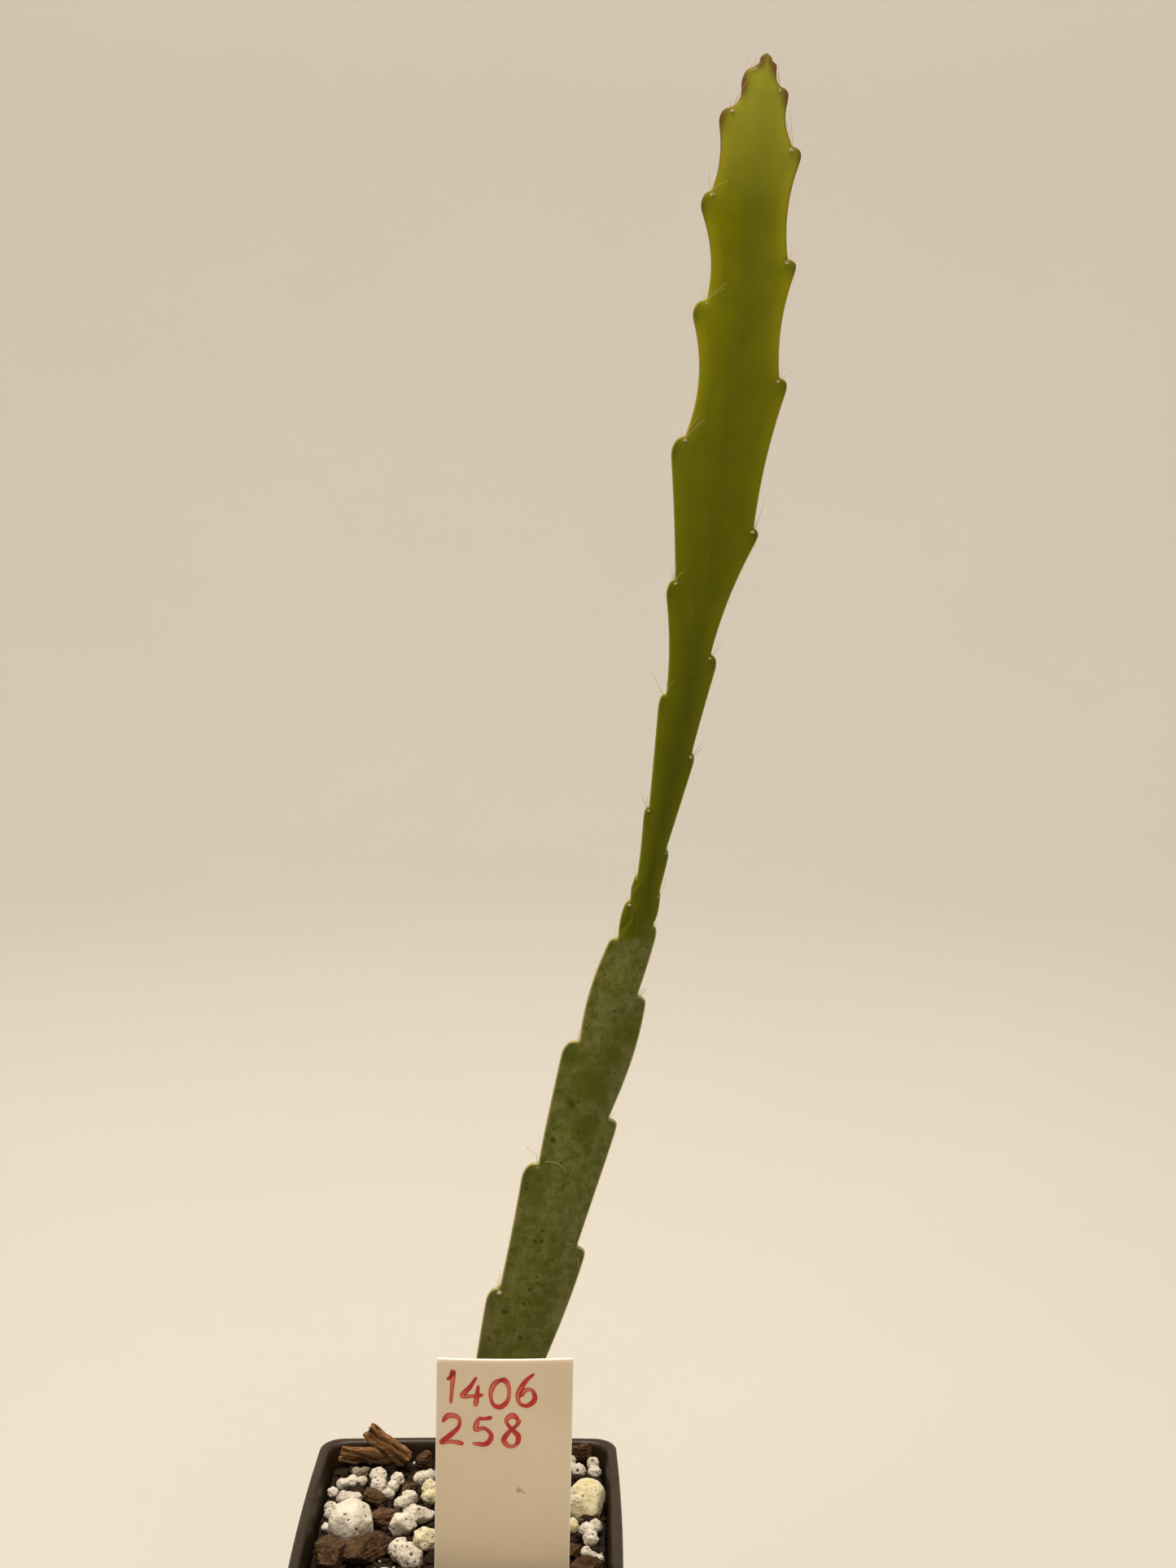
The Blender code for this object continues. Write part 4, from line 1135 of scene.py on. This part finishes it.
def popped(seed, large, moved):
    """Perlite's surface: faint swellings with a few creases, a sugary grain and some open pits, with a mark
    for painted shade in the pits and creases and on the undersides.
    """
    shift = Vector((seed * 7.3, seed * 2.9, seed * 5.1))
    block, calm = (0.34, 0.45) if large else (0.50, 1.0)

    def rule(p, normal):
        q = p + shift
        warp = noise.noise_vector(q * 0.8) * 0.6
        near = noise.voronoi(q * block + warp)[0]
        crease = max(0.0, 1.0 - (near[1] - near[0]) / CREASE_EDGE)
        hole = noise.voronoi(q * 0.60 + Vector((31.0, 0.0, 0.0)))[0][0]
        size = 0.20 + 0.13 * noise.noise(q * 0.5)
        pit = held((size - hole) / PIT_EDGE)
        lift = 0.16 + ripples(q, PERLITE_SWELLS) * calm + ripples(q, PERLITE_GRAINS)
        lift = lift - CREASE_DEPTH * crease * crease - PIT_DEPTH * pit
        # The mark is painted shade: in the pits (with some dirt), in the creases and on the undersides that
        # face down.
        underside_shade = held(0.35 - normal.z) * 0.30
        return moved(p) - p + normal * lift, min(1.0, pit + 0.30 * crease * crease + underside_shade)

    return rule


def bark_axes(along, reference, seed):
    """A chip's or strip's ways across its grain, and a shift that makes its noise its own."""
    side = along.cross(reference).normalized()
    return side, side.cross(along), Vector((seed * 3.7, seed * 9.1, seed * 1.3))


def broken_bark(along, seed, moved):
    """Bark's surface: thin layers with ragged steps, long fibres and splits along its grain."""
    side, other, shift = bark_axes(along, UP, seed)

    def rule(p, normal):
        new = moved(p)
        q = Vector((new.dot(along) * 0.30, new.dot(side) * 1.3, new.dot(other) * 1.3)) + shift
        layer = new.dot(other) * 1.15 + ripples(q, BARK_LAYERS)
        step = layer - math.floor(layer)
        edge = 0.34 * (1.0 - abs(normal.dot(other))) + 0.10
        fibre = noise.noise(q * 1.7) * 0.13 - abs(noise.noise(q * 3.4)) * 0.16
        lift = 0.10 + edge * (step - 0.45) + fibre + ripples(new, BARK_GRIT, shift)
        # The mark is painted shade: low where the surface is sunk, in the grooves and at the low side of
        # each layer's step.
        return new - p + normal * lift, held(0.30 + 0.6 * step + 2.4 * fibre)

    return rule


def frayed_strip(along, half, middle, seed, moved):
    """A strip's surface: ridges along its whole length and ends that are split into splinters."""
    side, other, shift = bark_axes(along, BACKWARDS, seed)

    def rule(p, normal):
        new = moved(p)
        place = (new - middle).dot(along)
        across = Vector((place * 0.12, new.dot(side) * 1.05, new.dot(other) * 1.05)) + shift
        ridge = noise.noise(across) * 0.50 - abs(noise.noise(across * 1.9)) * 0.55
        fine = noise.noise(across * 5.5) * 0.08 + noise.noise(new * 2.2 + shift) * 0.10
        split = 0.4 + noise.noise(Vector((0.0, across.y, across.z)) * 1.7 + shift) * 1.6
        near_end = held((abs(place) / half - 0.55) / 0.40)
        pull = -math.copysign(1.0, place) * near_end * max(0.0, split) * 2.4
        # The mark is painted shade: low in the furrows between the ridges.
        return new - p + normal * (ridge + fine + 0.12) + along * pull, held(0.62 + ridge * 1.6)

    return rule


def perlite_material(name, low, high, dirt):
    """White popped mineral: chalky, with grey-brown dirt in patches and painted shade in its pits and
    creases and on its undersides.
    """
    n = Nodes(name, 0.9)
    shade_mark = n.value("shade_mark")
    n.surface("Base Color", n.layers(
        n.mix(n.ramp(n.noise(330.0, 4.0), 0.36, 0.62), low, high),
        (n.ramp(n.noise(760.0, 5.0, 0.72), 0.55, 0.72, 0.0, dirt), (0.34, 0.28, 0.20)),
        (n.times(n.specks(900.0, 0.10, 0.10), 0.7), (0.16, 0.12, 0.08)),
        # Painted shade from the mark: grey-brown on the undersides and in the creases, near black in the
        # pits.
        (n.ramp(shade_mark, 0.02, 0.46, 0.0, 0.70), (0.36, 0.30, 0.23)),
        (n.ramp(shade_mark, 0.50, 0.90, 0.0, 0.88), (0.085, 0.062, 0.040)),
    ))
    n.bump(n.plus(n.noise(2600.0, 3.0, 0.65), n.times(n.noise(900.0, 3.0), 0.6)), 0.00014, 0.8)
    return n.material


def bark_material(name, low, high, pale, grain, turn=0.0, fineness=620.0):
    """Dry bark: painted shade darkens its splits and grooves; paler along its fibres, which are turned by
    this many degrees.
    """
    n = Nodes(name, 0.88, 0.2)
    fibre = n.noise(fineness, 4.0, 0.7, n.stretched(grain, (0.0, math.radians(turn), 0.0)))
    n.surface("Base Color", n.layers(
        n.mix(n.ramp(n.noise(260.0, 5.0, 0.65), 0.35, 0.64), low, high),
        (n.ramp(fibre, 0.50, 0.64, 0.0, 0.75), pale),
        # Painted shade: near black in the splits and grooves that the mark finds.
        (n.ramp(n.value("shade_mark"), 0.05, 0.55, 0.85, 0.0), tuple(c * 0.22 for c in low)),
    ))
    n.bump(n.plus(fibre, n.times(n.noise(2400.0, 3.0), 0.5)), 0.00022, 0.9)
    return n.material


def mix_block(look):
    """The mix's visible body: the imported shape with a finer, crumbly top."""

    def rule(p, normal):
        if p.z < MIX_TOP - 6.0 or normal.z < 0.2:
            return Vector(), 0.5
        crumbs = ripples(p, MIX_CLODS)
        # The mark is painted shade: low in the hollows between the crumbs.
        return normal * (crumbs - 0.06), 0.5 + 1.2 * crumbs

    return shaped(grown("mix_body", "potting_mix", *MIX_SKIN, look), rule)


def mix_material():
    """Damp, fine bark mix with pale chips."""
    n = Nodes("mix_look", 0.95, 0.2)
    clods = n.cells(480.0)["Distance"]
    cloud = n.noise(420.0, 5.0, 0.7)
    n.surface("Base Color", n.layers(
        n.mix(n.ramp(cloud, 0.35, 0.66), (0.012, 0.008, 0.005), (0.046, 0.029, 0.017)),
        (n.ramp(clods, 0.2, 0.75, 0.0, 0.6), (0.009, 0.006, 0.004)),
        (n.times(n.specks(640.0, 0.16, 0.14), 0.6), (0.22, 0.17, 0.11)),
        # Painted shade: darker in the hollows between the crumbs, and a little on the body's sides and
        # underside.
        (n.ramp(n.value("shade_mark"), 0.2, 0.8, 0.6, 0.0), (0.007, 0.005, 0.0035)),
    ))
    n.bump(n.plus(cloud, clods), 0.0004, 0.8)
    return n.material


# The loose grains: how many are tried, the shares that are pale or large, and their sizes.
GRAIN_SEED = 23
GRAIN_TRIES = 1900
GRAIN_WALL_GAP = 0.9
GRAIN_CORNER = 3.0
PALE_SHARE = 0.06
LARGE_SHARE = 0.16
LARGE_GROWTH = 2.4
GRAIN_SIZES = {"dark": (0.25, 0.80), "pale": (0.16, 0.50)}
DARK_SPREADS = ((1.0, 2.2), (0.6, 1.0), (0.35, 0.7))
PALE_SPREAD = (0.7, 1.0)
RAY_START = 0.075
# Where no grain lies: from and to across, and how far in front and behind, at the stem and the label.
STEM_CLEAR = (-6.0, 9.0, 4.0)
LABEL_CLEAR = (-5.5, 23.0, 1.2)
# The one small piece of perlite at the left wall that has no solid of its own.
WALL_PIECE = Vector((-27.4, 1.9, 55.9))
WALL_PIECE_RADII = (1.2, 1.0, 0.9)


def pebble(points, faces, centre, radii, spin, seed, rings=4, around=7):
    """Adds a small irregular grain to a growing mesh."""
    shift = Vector((seed * 1.7, seed * 0.9, seed * 2.3))
    rows = [[-UP]]
    for r in range(1, rings):
        rise = math.pi * r / rings - QUARTER_TURN
        turns = [2.0 * math.pi * k / around for k in range(around)]
        flat = math.cos(rise)
        rows.append([Vector((flat * math.cos(t), flat * math.sin(t), math.sin(rise))) for t in turns])
    rows.append([UP])
    index = []
    for row in rows:
        index.append([len(points) + k for k in range(len(row))])
        for d in row:
            reach = 1.0 + noise.noise(d * 1.6 + shift) * 0.45
            points.append(centre + spin @ Vector([a * b * reach for a, b in zip(d, radii)]))
    for low, high in zip(index, index[1:]):
        for k in range(around):
            n = (k + 1) % around
            if len(low) == 1:
                faces.append((low[0], high[n], high[k]))
            elif len(high) == 1:
                faces.append((low[k], low[n], high[0]))
            else:
                faces.append((low[k], low[n], high[n], high[k]))


def loose_grains(dark_look, pale_look):
    """Small crumbs of bark and perlite dust between the larger pieces, lying on what is below them."""
    draw = random.Random(GRAIN_SEED)
    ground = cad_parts["potting_mix"].data
    spots = [v.co.copy() for v in ground.vertices]
    tree = BVHTree.FromPolygons(spots, [tuple(p.vertices) for p in ground.polygons])
    sets = {"dark": ([], []), "pale": ([], [])}
    limit = inner_half(MIX_TOP) - GRAIN_WALL_GAP
    for k in range(GRAIN_TRIES):
        x = draw.uniform(-limit, limit)
        y = draw.uniform(-limit, limit)
        in_corner = min(abs(x), abs(y)) > limit - GRAIN_CORNER
        at_stem = STEM_CLEAR[0] < x < STEM_CLEAR[1] and abs(y) < STEM_CLEAR[2]
        at_label = LABEL_CLEAR[0] < x < LABEL_CLEAR[1] and abs(y - LABEL_SOIL_Y) < LABEL_CLEAR[2]
        ground_point = tree.ray_cast(Vector((x * MM, y * MM, RAY_START)), -UP)[0]
        if in_corner or at_stem or at_label or ground_point is None:
            continue
        kind = "pale" if draw.random() < PALE_SHARE else "dark"
        size = draw.uniform(*GRAIN_SIZES[kind])
        if draw.random() < LARGE_SHARE and kind == "dark":
            size *= LARGE_GROWTH
        radii = tuple(size * draw.uniform(*spread) for spread in DARK_SPREADS)
        if kind == "pale":
            radii = (size, size * draw.uniform(*PALE_SPREAD), size * draw.uniform(*PALE_SPREAD))
        turned = Matrix.Rotation(draw.uniform(0.0, 6.28), 3, "Z")
        spin = turned @ Matrix.Rotation(draw.uniform(-0.5, 0.5), 3, "Y")
        centre = Vector((x, y, ground_point.z / MM + radii[2] * draw.uniform(0.0, 0.6)))
        pebble(*sets[kind], centre, radii, spin, k)
    pebble(*sets["pale"], WALL_PIECE, WALL_PIECE_RADII, Matrix.Identity(3), 7, 8, 14)
    dark = new_mesh_object("mix_crumbs", *sets["dark"], dark_look)
    pale = new_mesh_object("perlite_dust", *sets["pale"], pale_look)
    return dark, pale


# The label, as in the part's source: millimetres.
LABEL_WIDTH = 25.5
LABEL_THICKNESS = 0.6
LABEL_TOP = 104.6
LABEL_FOOT = 37.5
LABEL_SHOULDER = 50.0
LABEL_FOOT_SHARE = 0.22
LABEL_TOP_X = 9.75
LABEL_SOIL_Y = -24.7
LABEL_LEAN = 0.015
LABEL_ROLL = 0.0165
LABEL_BOW = 0.57
LABEL_SOIL_Z = 55.4
LABEL_EASE = 0.12
LABEL_COLUMNS = 40
LABEL_ROWS = 90
# Plain numbers drawn with a red felt pen: for each stroke, points as shares of the figure's box.
FIGURES = {
    "0": (((0.58, 1.0), (0.22, 0.82), (0.06, 0.45), (0.2, 0.08), (0.55, 0.0), (0.88, 0.24), (0.93, 0.66),
           (0.74, 0.95), (0.46, 0.97)),),
    "1": (((0.28, 0.74), (0.50, 0.88), (0.62, 1.0), (0.57, 0.5), (0.50, 0.0)),),
    "2": (((0.08, 0.74), (0.32, 0.98), (0.72, 0.92), (0.76, 0.62), (0.42, 0.30), (0.04, 0.02), (0.5, 0.07),
           (0.96, 0.0)),),
    "4": (((0.66, 1.0), (0.36, 0.64), (0.04, 0.34), (0.5, 0.33), (0.96, 0.38)),
          ((0.74, 0.72), (0.69, 0.35), (0.62, -0.04))),
    "5": (((0.30, 0.98), (0.22, 0.58), (0.58, 0.62), (0.88, 0.36), (0.66, 0.05), (0.08, 0.06)),
          ((0.30, 0.98), (0.60, 0.97), (0.90, 1.02))),
    "6": (((0.82, 1.0), (0.44, 0.76), (0.14, 0.38), (0.2, 0.08), (0.55, 0.0), (0.85, 0.2), (0.74, 0.47),
           (0.44, 0.48), (0.2, 0.28)),),
    "8": (((0.78, 0.86), (0.5, 1.0), (0.24, 0.84), (0.42, 0.60), (0.76, 0.34), (0.70, 0.07), (0.4, 0.0),
           (0.14, 0.2), (0.40, 0.50), (0.72, 0.70), (0.78, 0.88)),),
}
# Each figure: what it is, the left and lower edge on the label, its width and its height.
WRITING = (
    ("1", -11.6, 95.9, 3.2, 6.2),
    ("4", -8.0, 95.6, 4.2, 5.6),
    ("0", -2.8, 95.4, 3.9, 5.4),
    ("6", 2.0, 95.6, 4.3, 6.3),
    ("2", -11.9, 88.0, 4.6, 5.6),
    ("5", -6.2, 87.8, 4.4, 5.4),
    ("8", -0.6, 87.6, 4.3, 6.1),
)
PEN_WIDTH = 0.86
PEN_COLUMNS = 6
PEN_STEPS = 9
PEN_SEED = 5
INK_LIFT = 0.012
INK_STEP = 0.004
LABEL_OVERSHOOT = 0.5
LABEL_LAST_ROW = 0.15
LABEL_INSET = 0.3
LABEL_EDGE = 0.55
LABEL_SHARP = math.radians(60.0)


def label_surface(across, z):
    """Point on the label's middle sheet, this far across from its middle line."""
    middle = LABEL_TOP_X - (LABEL_TOP - z) * LABEL_ROLL
    plane = LABEL_SOIL_Y + (z - LABEL_SOIL_Z) * LABEL_LEAN
    bow = LABEL_BOW * ((across / (LABEL_WIDTH / 2.0)) ** 2 - 0.5)
    return Vector((middle + across, plane + bow, z))


def label_half_width(z):
    half = LABEL_WIDTH / 2.0
    if z < LABEL_SHOULDER:
        share = (z - LABEL_FOOT) / (LABEL_SHOULDER - LABEL_FOOT)
        return half * (LABEL_FOOT_SHARE + (1.0 - LABEL_FOOT_SHARE) * share)
    return half


def eased(gap):
    """The share of the label's thickness that is left this near to an edge."""
    return 1.0 if gap > LABEL_EASE else LABEL_EDGE + (1.0 - LABEL_EDGE) * gap / LABEL_EASE


def label(look):
    """The plastic strip, with eased edges."""
    points = []
    values = []
    for row in range(LABEL_ROWS + 1):
        z = min(LABEL_FOOT + (LABEL_TOP + LABEL_OVERSHOOT - LABEL_FOOT) * row / LABEL_ROWS, LABEL_TOP)
        if row == LABEL_ROWS - 1:
            z = LABEL_TOP - LABEL_LAST_ROW
        half = label_half_width(z)
        slim = LABEL_THICKNESS / 2.0 * eased(min(z - LABEL_FOOT, LABEL_TOP - z))
        inner = half - LABEL_INSET
        places = [-half, -half + LABEL_EASE]
        places += [-inner + 2.0 * inner * k / (LABEL_COLUMNS - 4) for k in range(LABEL_COLUMNS - 3)]
        places += [half - LABEL_EASE, half]
        for face, columns in ((-1.0, places), (1.0, places[::-1])):
            for across in columns:
                depth = slim * eased(half - abs(across))
                points.append(label_surface(across, z) + Vector((0.0, face * depth, 0.0)))
                values.append((min(half - abs(across), LABEL_TOP - z), z))
    obj = new_mesh_object("label_strip", points, ring_faces(LABEL_ROWS + 1, 2 * (LABEL_COLUMNS + 1)), look)
    for name, numbers in zip(("rim", "height"), zip(*values)):
        add_values(obj, name, numbers)
    obj.data.set_sharp_from_angle(angle=LABEL_SHARP)
    return obj


def writing(look):
    """The red figures, as thin films of ink on the label's front."""
    points = []
    faces = []
    values = []
    lift = LABEL_THICKNESS / 2.0 + INK_LIFT
    draw = random.Random(PEN_SEED)
    for figure, left, low, width, height in WRITING:
        for stroke in FIGURES[figure]:
            knots = [Vector((left + a * width, low + b * height, 0.0)) for a, b in stroke]
            line = curve_through(knots, PEN_STEPS)
            lift += INK_STEP
            fade = draw.uniform(0.0, 6.0)
            base = len(points)
            for k, spot in enumerate(line):
                way = way_at(line, k)
                side = Vector((-way.y, way.x, 0.0))
                blunt = math.sqrt(min(1.0, 0.25 + 0.75 * (min(k, len(line) - 1 - k) / 3.0)))
                reach = PEN_WIDTH / 2.0 * blunt * (1.0 + 0.22 * math.sin(k * 0.23 + fade))
                for column in range(PEN_COLUMNS + 1):
                    t = 2.0 * column / PEN_COLUMNS - 1.0
                    place = spot + side * (t * reach)
                    points.append(label_surface(place.x, place.y) - Vector((0.0, lift, 0.0)))
                    values.append((1.0 - abs(t), 0.5 + 0.5 * math.sin(k * 0.16 + fade)))
            for k in range(len(line) - 1):
                for column in range(PEN_COLUMNS):
                    a = base + k * (PEN_COLUMNS + 1) + column
                    faces.append((a, a + 1, a + PEN_COLUMNS + 2, a + PEN_COLUMNS + 1))
    obj = new_mesh_object("label_figures", points, faces, look)
    for name, numbers in zip(("middle", "worn"), zip(*values)):
        add_values(obj, name, numbers)
    return obj


def ink_material():
    """Red felt-pen ink: fuller along the edges of a stroke, thin and pinkish where the pen ran dry."""
    n = Nodes("pen_ink_look", 0.45)
    thin = n.times(n.ramp(n.value("middle"), 0.25, 0.75), n.ramp(n.value("worn"), 0.45, 0.95))
    n.surface("Base Color", n.layers(
        n.mix(n.ramp(n.noise(900.0, 3.0), 0.35, 0.65), (0.46, 0.014, 0.012), (0.60, 0.030, 0.022)),
        (n.times(thin, 0.75), (0.80, 0.22, 0.17)),
    ))
    return n.material


def label_material():
    """Off-white matte plastic with a fine tooth, faint handling marks and one grey fleck, darker towards its
    foot and with a painted highlight along its edges.
    """
    n = Nodes("label_look", 0.55, 0.35)
    smudge = n.noise(240.0, 5.0, 0.7)
    wobble = n.ramp(n.noise(1500.0), 0.3, 0.7, -0.0003, 0.0003)
    fleck = n.blots(((12.5, 78.8, 0.55), (13.2, 78.5, 0.35)), -25.0, wobble, 0.3)
    n.surface("Base Color", n.layers(
        n.mix(n.ramp(n.noise(60.0, 3.0), 0.35, 0.65), (0.80, 0.67, 0.51), (0.84, 0.71, 0.545)),
        (n.ramp(smudge, 0.62, 0.80, 0.0, 0.14), (0.55, 0.50, 0.42)),
        (n.times(fleck, 0.6), (0.28, 0.24, 0.20)),
        # Darker towards the foot: partly soil dirt, partly painted shade.
        (n.ramp(n.value("height"), 55.0, 82.0, 0.26, 0.0), (0.50, 0.40, 0.29)),
        # Painted highlight along the top and side edges.
        (n.ramp(n.value("rim"), 0.05, 0.32, 0.9, 0.0), (0.97, 0.95, 0.90)),
    ))
    n.surface("Roughness", n.ramp(smudge, 0.3, 0.7, 0.48, 0.62))
    n.bump(n.noise(2200.0, 2.0), 0.00004, 0.5)
    return n.material


# The stage is in metres: a level floor, the sweep's radius, and how high the wall stands.
STAGE_FLOOR = 0.9
STAGE_RINGS = 4
STAGE_SWEEP = 0.6
SWEEP_STEPS = 16
STAGE_HEIGHT = 1.9
STAGE_SIDES = 96
# Each light: its name, its place, what it points at, its two sizes, its power and its colour.
LIGHTS = (
    ("top_light", (-0.08, -0.04, 0.95), (0.01, 0.0, 0.06), (0.55, 0.45), 7.5, (1.0, 0.885, 0.71)),
    ("front_fill", (0.30, -1.10, 0.60), (0.02, 0.0, 0.16), (0.9, 0.7), 2.6, (1.0, 0.865, 0.67)),
    ("back_wash", (0.0, 0.35, 1.55), (0.0, 1.5, 0.45), (1.8, 0.3), 18.5, (1.0, 0.89, 0.72)),
)
ROOM_COLOUR = (1.0, 0.875, 0.70, 1.0)
ROOM_STRENGTH = 0.11


def stage_material():
    n = Nodes("backdrop_look", 0.9, 0.1)
    cloud = n.ramp(n.noise(6.0, 2.0), 0.3, 0.7)
    n.surface("Base Color", n.mix(cloud, (0.60, 0.59, 0.58), (0.61, 0.60, 0.59)))
    return n.material


def backdrop(look):
    """A round floor that sweeps up into a wall on every side."""
    profile = [(STAGE_FLOOR * k / STAGE_RINGS, 0.0) for k in range(1, STAGE_RINGS + 1)]
    for k in range(1, SWEEP_STEPS + 1):
        angle = k / SWEEP_STEPS * QUARTER_TURN
        profile.append((STAGE_FLOOR + STAGE_SWEEP * math.sin(angle), STAGE_SWEEP * (1.0 - math.cos(angle))))
    profile.append((STAGE_FLOOR + STAGE_SWEEP, STAGE_HEIGHT))
    points = [Vector()]
    faces = []
    for radius, z in profile:
        for k in range(STAGE_SIDES):
            angle = 2.0 * math.pi * k / STAGE_SIDES
            points.append(Vector((radius * math.cos(angle), radius * math.sin(angle), z)))
    for k in range(STAGE_SIDES):
        following = (k + 1) % STAGE_SIDES
        faces.append((0, 1 + k, 1 + following))
        for ring in range(len(profile) - 1):
            low = 1 + ring * STAGE_SIDES
            high = low + STAGE_SIDES
            faces.append((low + k, high + k, high + following, low + following))
    return new_mesh_object("backdrop", points, faces, look, 1.0)


def lights():
    for name, place, target, size, power, colour in LIGHTS:
        data = bpy.data.lights.new(name, "AREA")
        data.shape = "RECTANGLE"
        data.size, data.size_y = size
        data.energy = power
        data.color = colour
        obj = linked(name, data)
        obj.location = place
        obj.rotation_mode = "QUATERNION"
        obj.rotation_quaternion = (Vector(target) - Vector(place)).to_track_quat("-Z", "Y")
        obj.visible_camera = False
    world = bpy.data.worlds.new("soft_room")
    bpy.context.scene.world = world
    world.use_nodes = True
    sky = world.node_tree.nodes["Background"]
    sky.inputs["Color"].default_value = ROOM_COLOUR
    sky.inputs["Strength"].default_value = ROOM_STRENGTH


def camera():
    pitch = math.radians(CAMERA_PITCH)
    yaw = math.radians(CAMERA_YAW)
    roll = math.radians(CAMERA_ROLL)
    ahead = Vector((math.sin(yaw) * math.cos(pitch), math.cos(yaw) * math.cos(pitch), -math.sin(pitch)))
    level = Vector((math.cos(yaw), -math.sin(yaw), 0.0))
    upright = level.cross(ahead)
    right = level * math.cos(roll) + upright * math.sin(roll)
    top = upright * math.cos(roll) - level * math.sin(roll)
    data = bpy.data.cameras.new("camera")
    data.sensor_width = SENSOR
    data.lens = FOCAL_PIXELS / IMAGE_HEIGHT * SENSOR
    data.clip_start = 0.01
    obj = linked("camera", data)
    turn = Matrix((right, top, -ahead)).transposed().to_4x4()
    obj.matrix_world = Matrix.Translation(Vector(CAMERA_PLACE) * MM) @ turn
    bpy.context.scene.camera = obj


def finish_piece(obj, slot, *nodes):
    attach(obj, "root")
    if nodes:
        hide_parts(*nodes)


def dress_perlite(node, index, looks):
    look = looks["yellow" if node in YELLOWED else "grey" if node in SHADED_PERLITE else "white"]
    low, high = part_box(node)
    large = (high - low).length / MM / 2.0 > LARGE_PERLITE
    voxel, relax, share = LARGE_SKIN if large else SMALL_SKIN
    piece = grown(node + "_popped", node, voxel, relax, look, 1.0 if node in BLOCKS else share)
    cuts = block_ways(BLOCKS[node]) if node in BLOCKS else []
    moved = chopped(node, BLOCK_SWELL if cuts else 1.0, cuts, BLOCK_SOFTNESS)
    finish_piece(shaped(piece, popped(index, large, moved)), "perlite_white", node)


def dress_strip(node, index, look):
    low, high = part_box(node)
    along = Vector((high.x - low.x, 0.0, low.z - high.z))
    half = along.length / MM / 2.0
    along.normalize()
    side, other, _ = bark_axes(along, BACKWARDS, index)
    cuts = []
    for way, share in ((along, 1.0), (side, 1.1), (other, 1.2)):
        cuts += [(way, share), (-way, share)]
    piece = grown(node + "_split", node, *STRIP_SKIN, look)
    rule = frayed_strip(along, half, (low + high) * 0.5 / MM, index, chopped(node, STRIP_SWELL, cuts))
    finish_piece(shaped(piece, rule), "bark_brown", node)


def dress_bark(node, index, look):
    along = long_way(node)
    cuts = [(way, BARK_TRIM) for way in chip_ways(node, along, index)]
    piece = grown(node + "_split", node, *BARK_SKIN, look)
    rule = broken_bark(along, index, chopped(node, BARK_SWELL, cuts))
    finish_piece(shaped(piece, rule), "bark_brown", node)


def main():
    hair_look = fibre_material("bristle_look", 0.45, 300.0, (0.46, 0.33, 0.15), (0.66, 0.52, 0.28))
    felt_look = fibre_material("felt_look", 0.9, 1500.0, (0.62, 0.52, 0.36), (0.88, 0.82, 0.68))
    finish_piece(stem(stem_material()), "stem_skin", "stem")
    for piece in bristles(hair_look, felt_look):
        finish_piece(piece, "stem_skin")
    finish_piece(pot(pot_material()), "pot_plastic", "pot")
    finish_piece(label(label_material()), "label_plastic", "label")
    finish_piece(writing(ink_material()), "label_plastic")
    finish_piece(mix_block(mix_material()), "mix", "potting_mix")

    looks = {
        "white": perlite_material("perlite_look", (0.56, 0.52, 0.455), (0.765, 0.725, 0.675), 0.50),
        "yellow": perlite_material("perlite_stained_look", (0.66, 0.58, 0.34), (0.82, 0.77, 0.58), 0.40),
        # A dark copy of the white perlite for the pieces in shade: painted shade, with some dirt.
        "grey": perlite_material("perlite_shaded_look", (0.20, 0.17, 0.12), (0.34, 0.30, 0.23), 0.60),
    }
    dark = bark_material("bark_dark_look", (0.048, 0.026, 0.013), (0.098, 0.053, 0.025),
                         (0.185, 0.110, 0.055), (1.0, 3.0, 1.0))
    red = bark_material("bark_red_look", (0.060, 0.029, 0.017), (0.125, 0.064, 0.036),
                        (0.210, 0.115, 0.065), (2.0, 1.0, 2.0))
    fibrous = bark_material("bark_fibre_look", (0.170, 0.084, 0.032), (0.310, 0.158, 0.064),
                            (0.520, 0.330, 0.180), (0.25, 2.5, 2.5), -25.0, 380.0)
    crumbs, dust = loose_grains(dark, looks["white"])
    finish_piece(crumbs, "mix")
    finish_piece(dust, "perlite_white")

    for index, node in enumerate(sorted(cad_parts)):
        if node.startswith("perlite"):
            dress_perlite(node, index, looks)
        elif node.startswith("bark_strip"):
            dress_strip(node, index, fibrous)
        elif node.startswith("bark"):
            dress_bark(node, index, red if node in REDDISH_BARK else dark)

    backdrop(stage_material())
    lights()
    camera()
    bpy.context.scene.view_settings.view_transform = "Standard"


main()
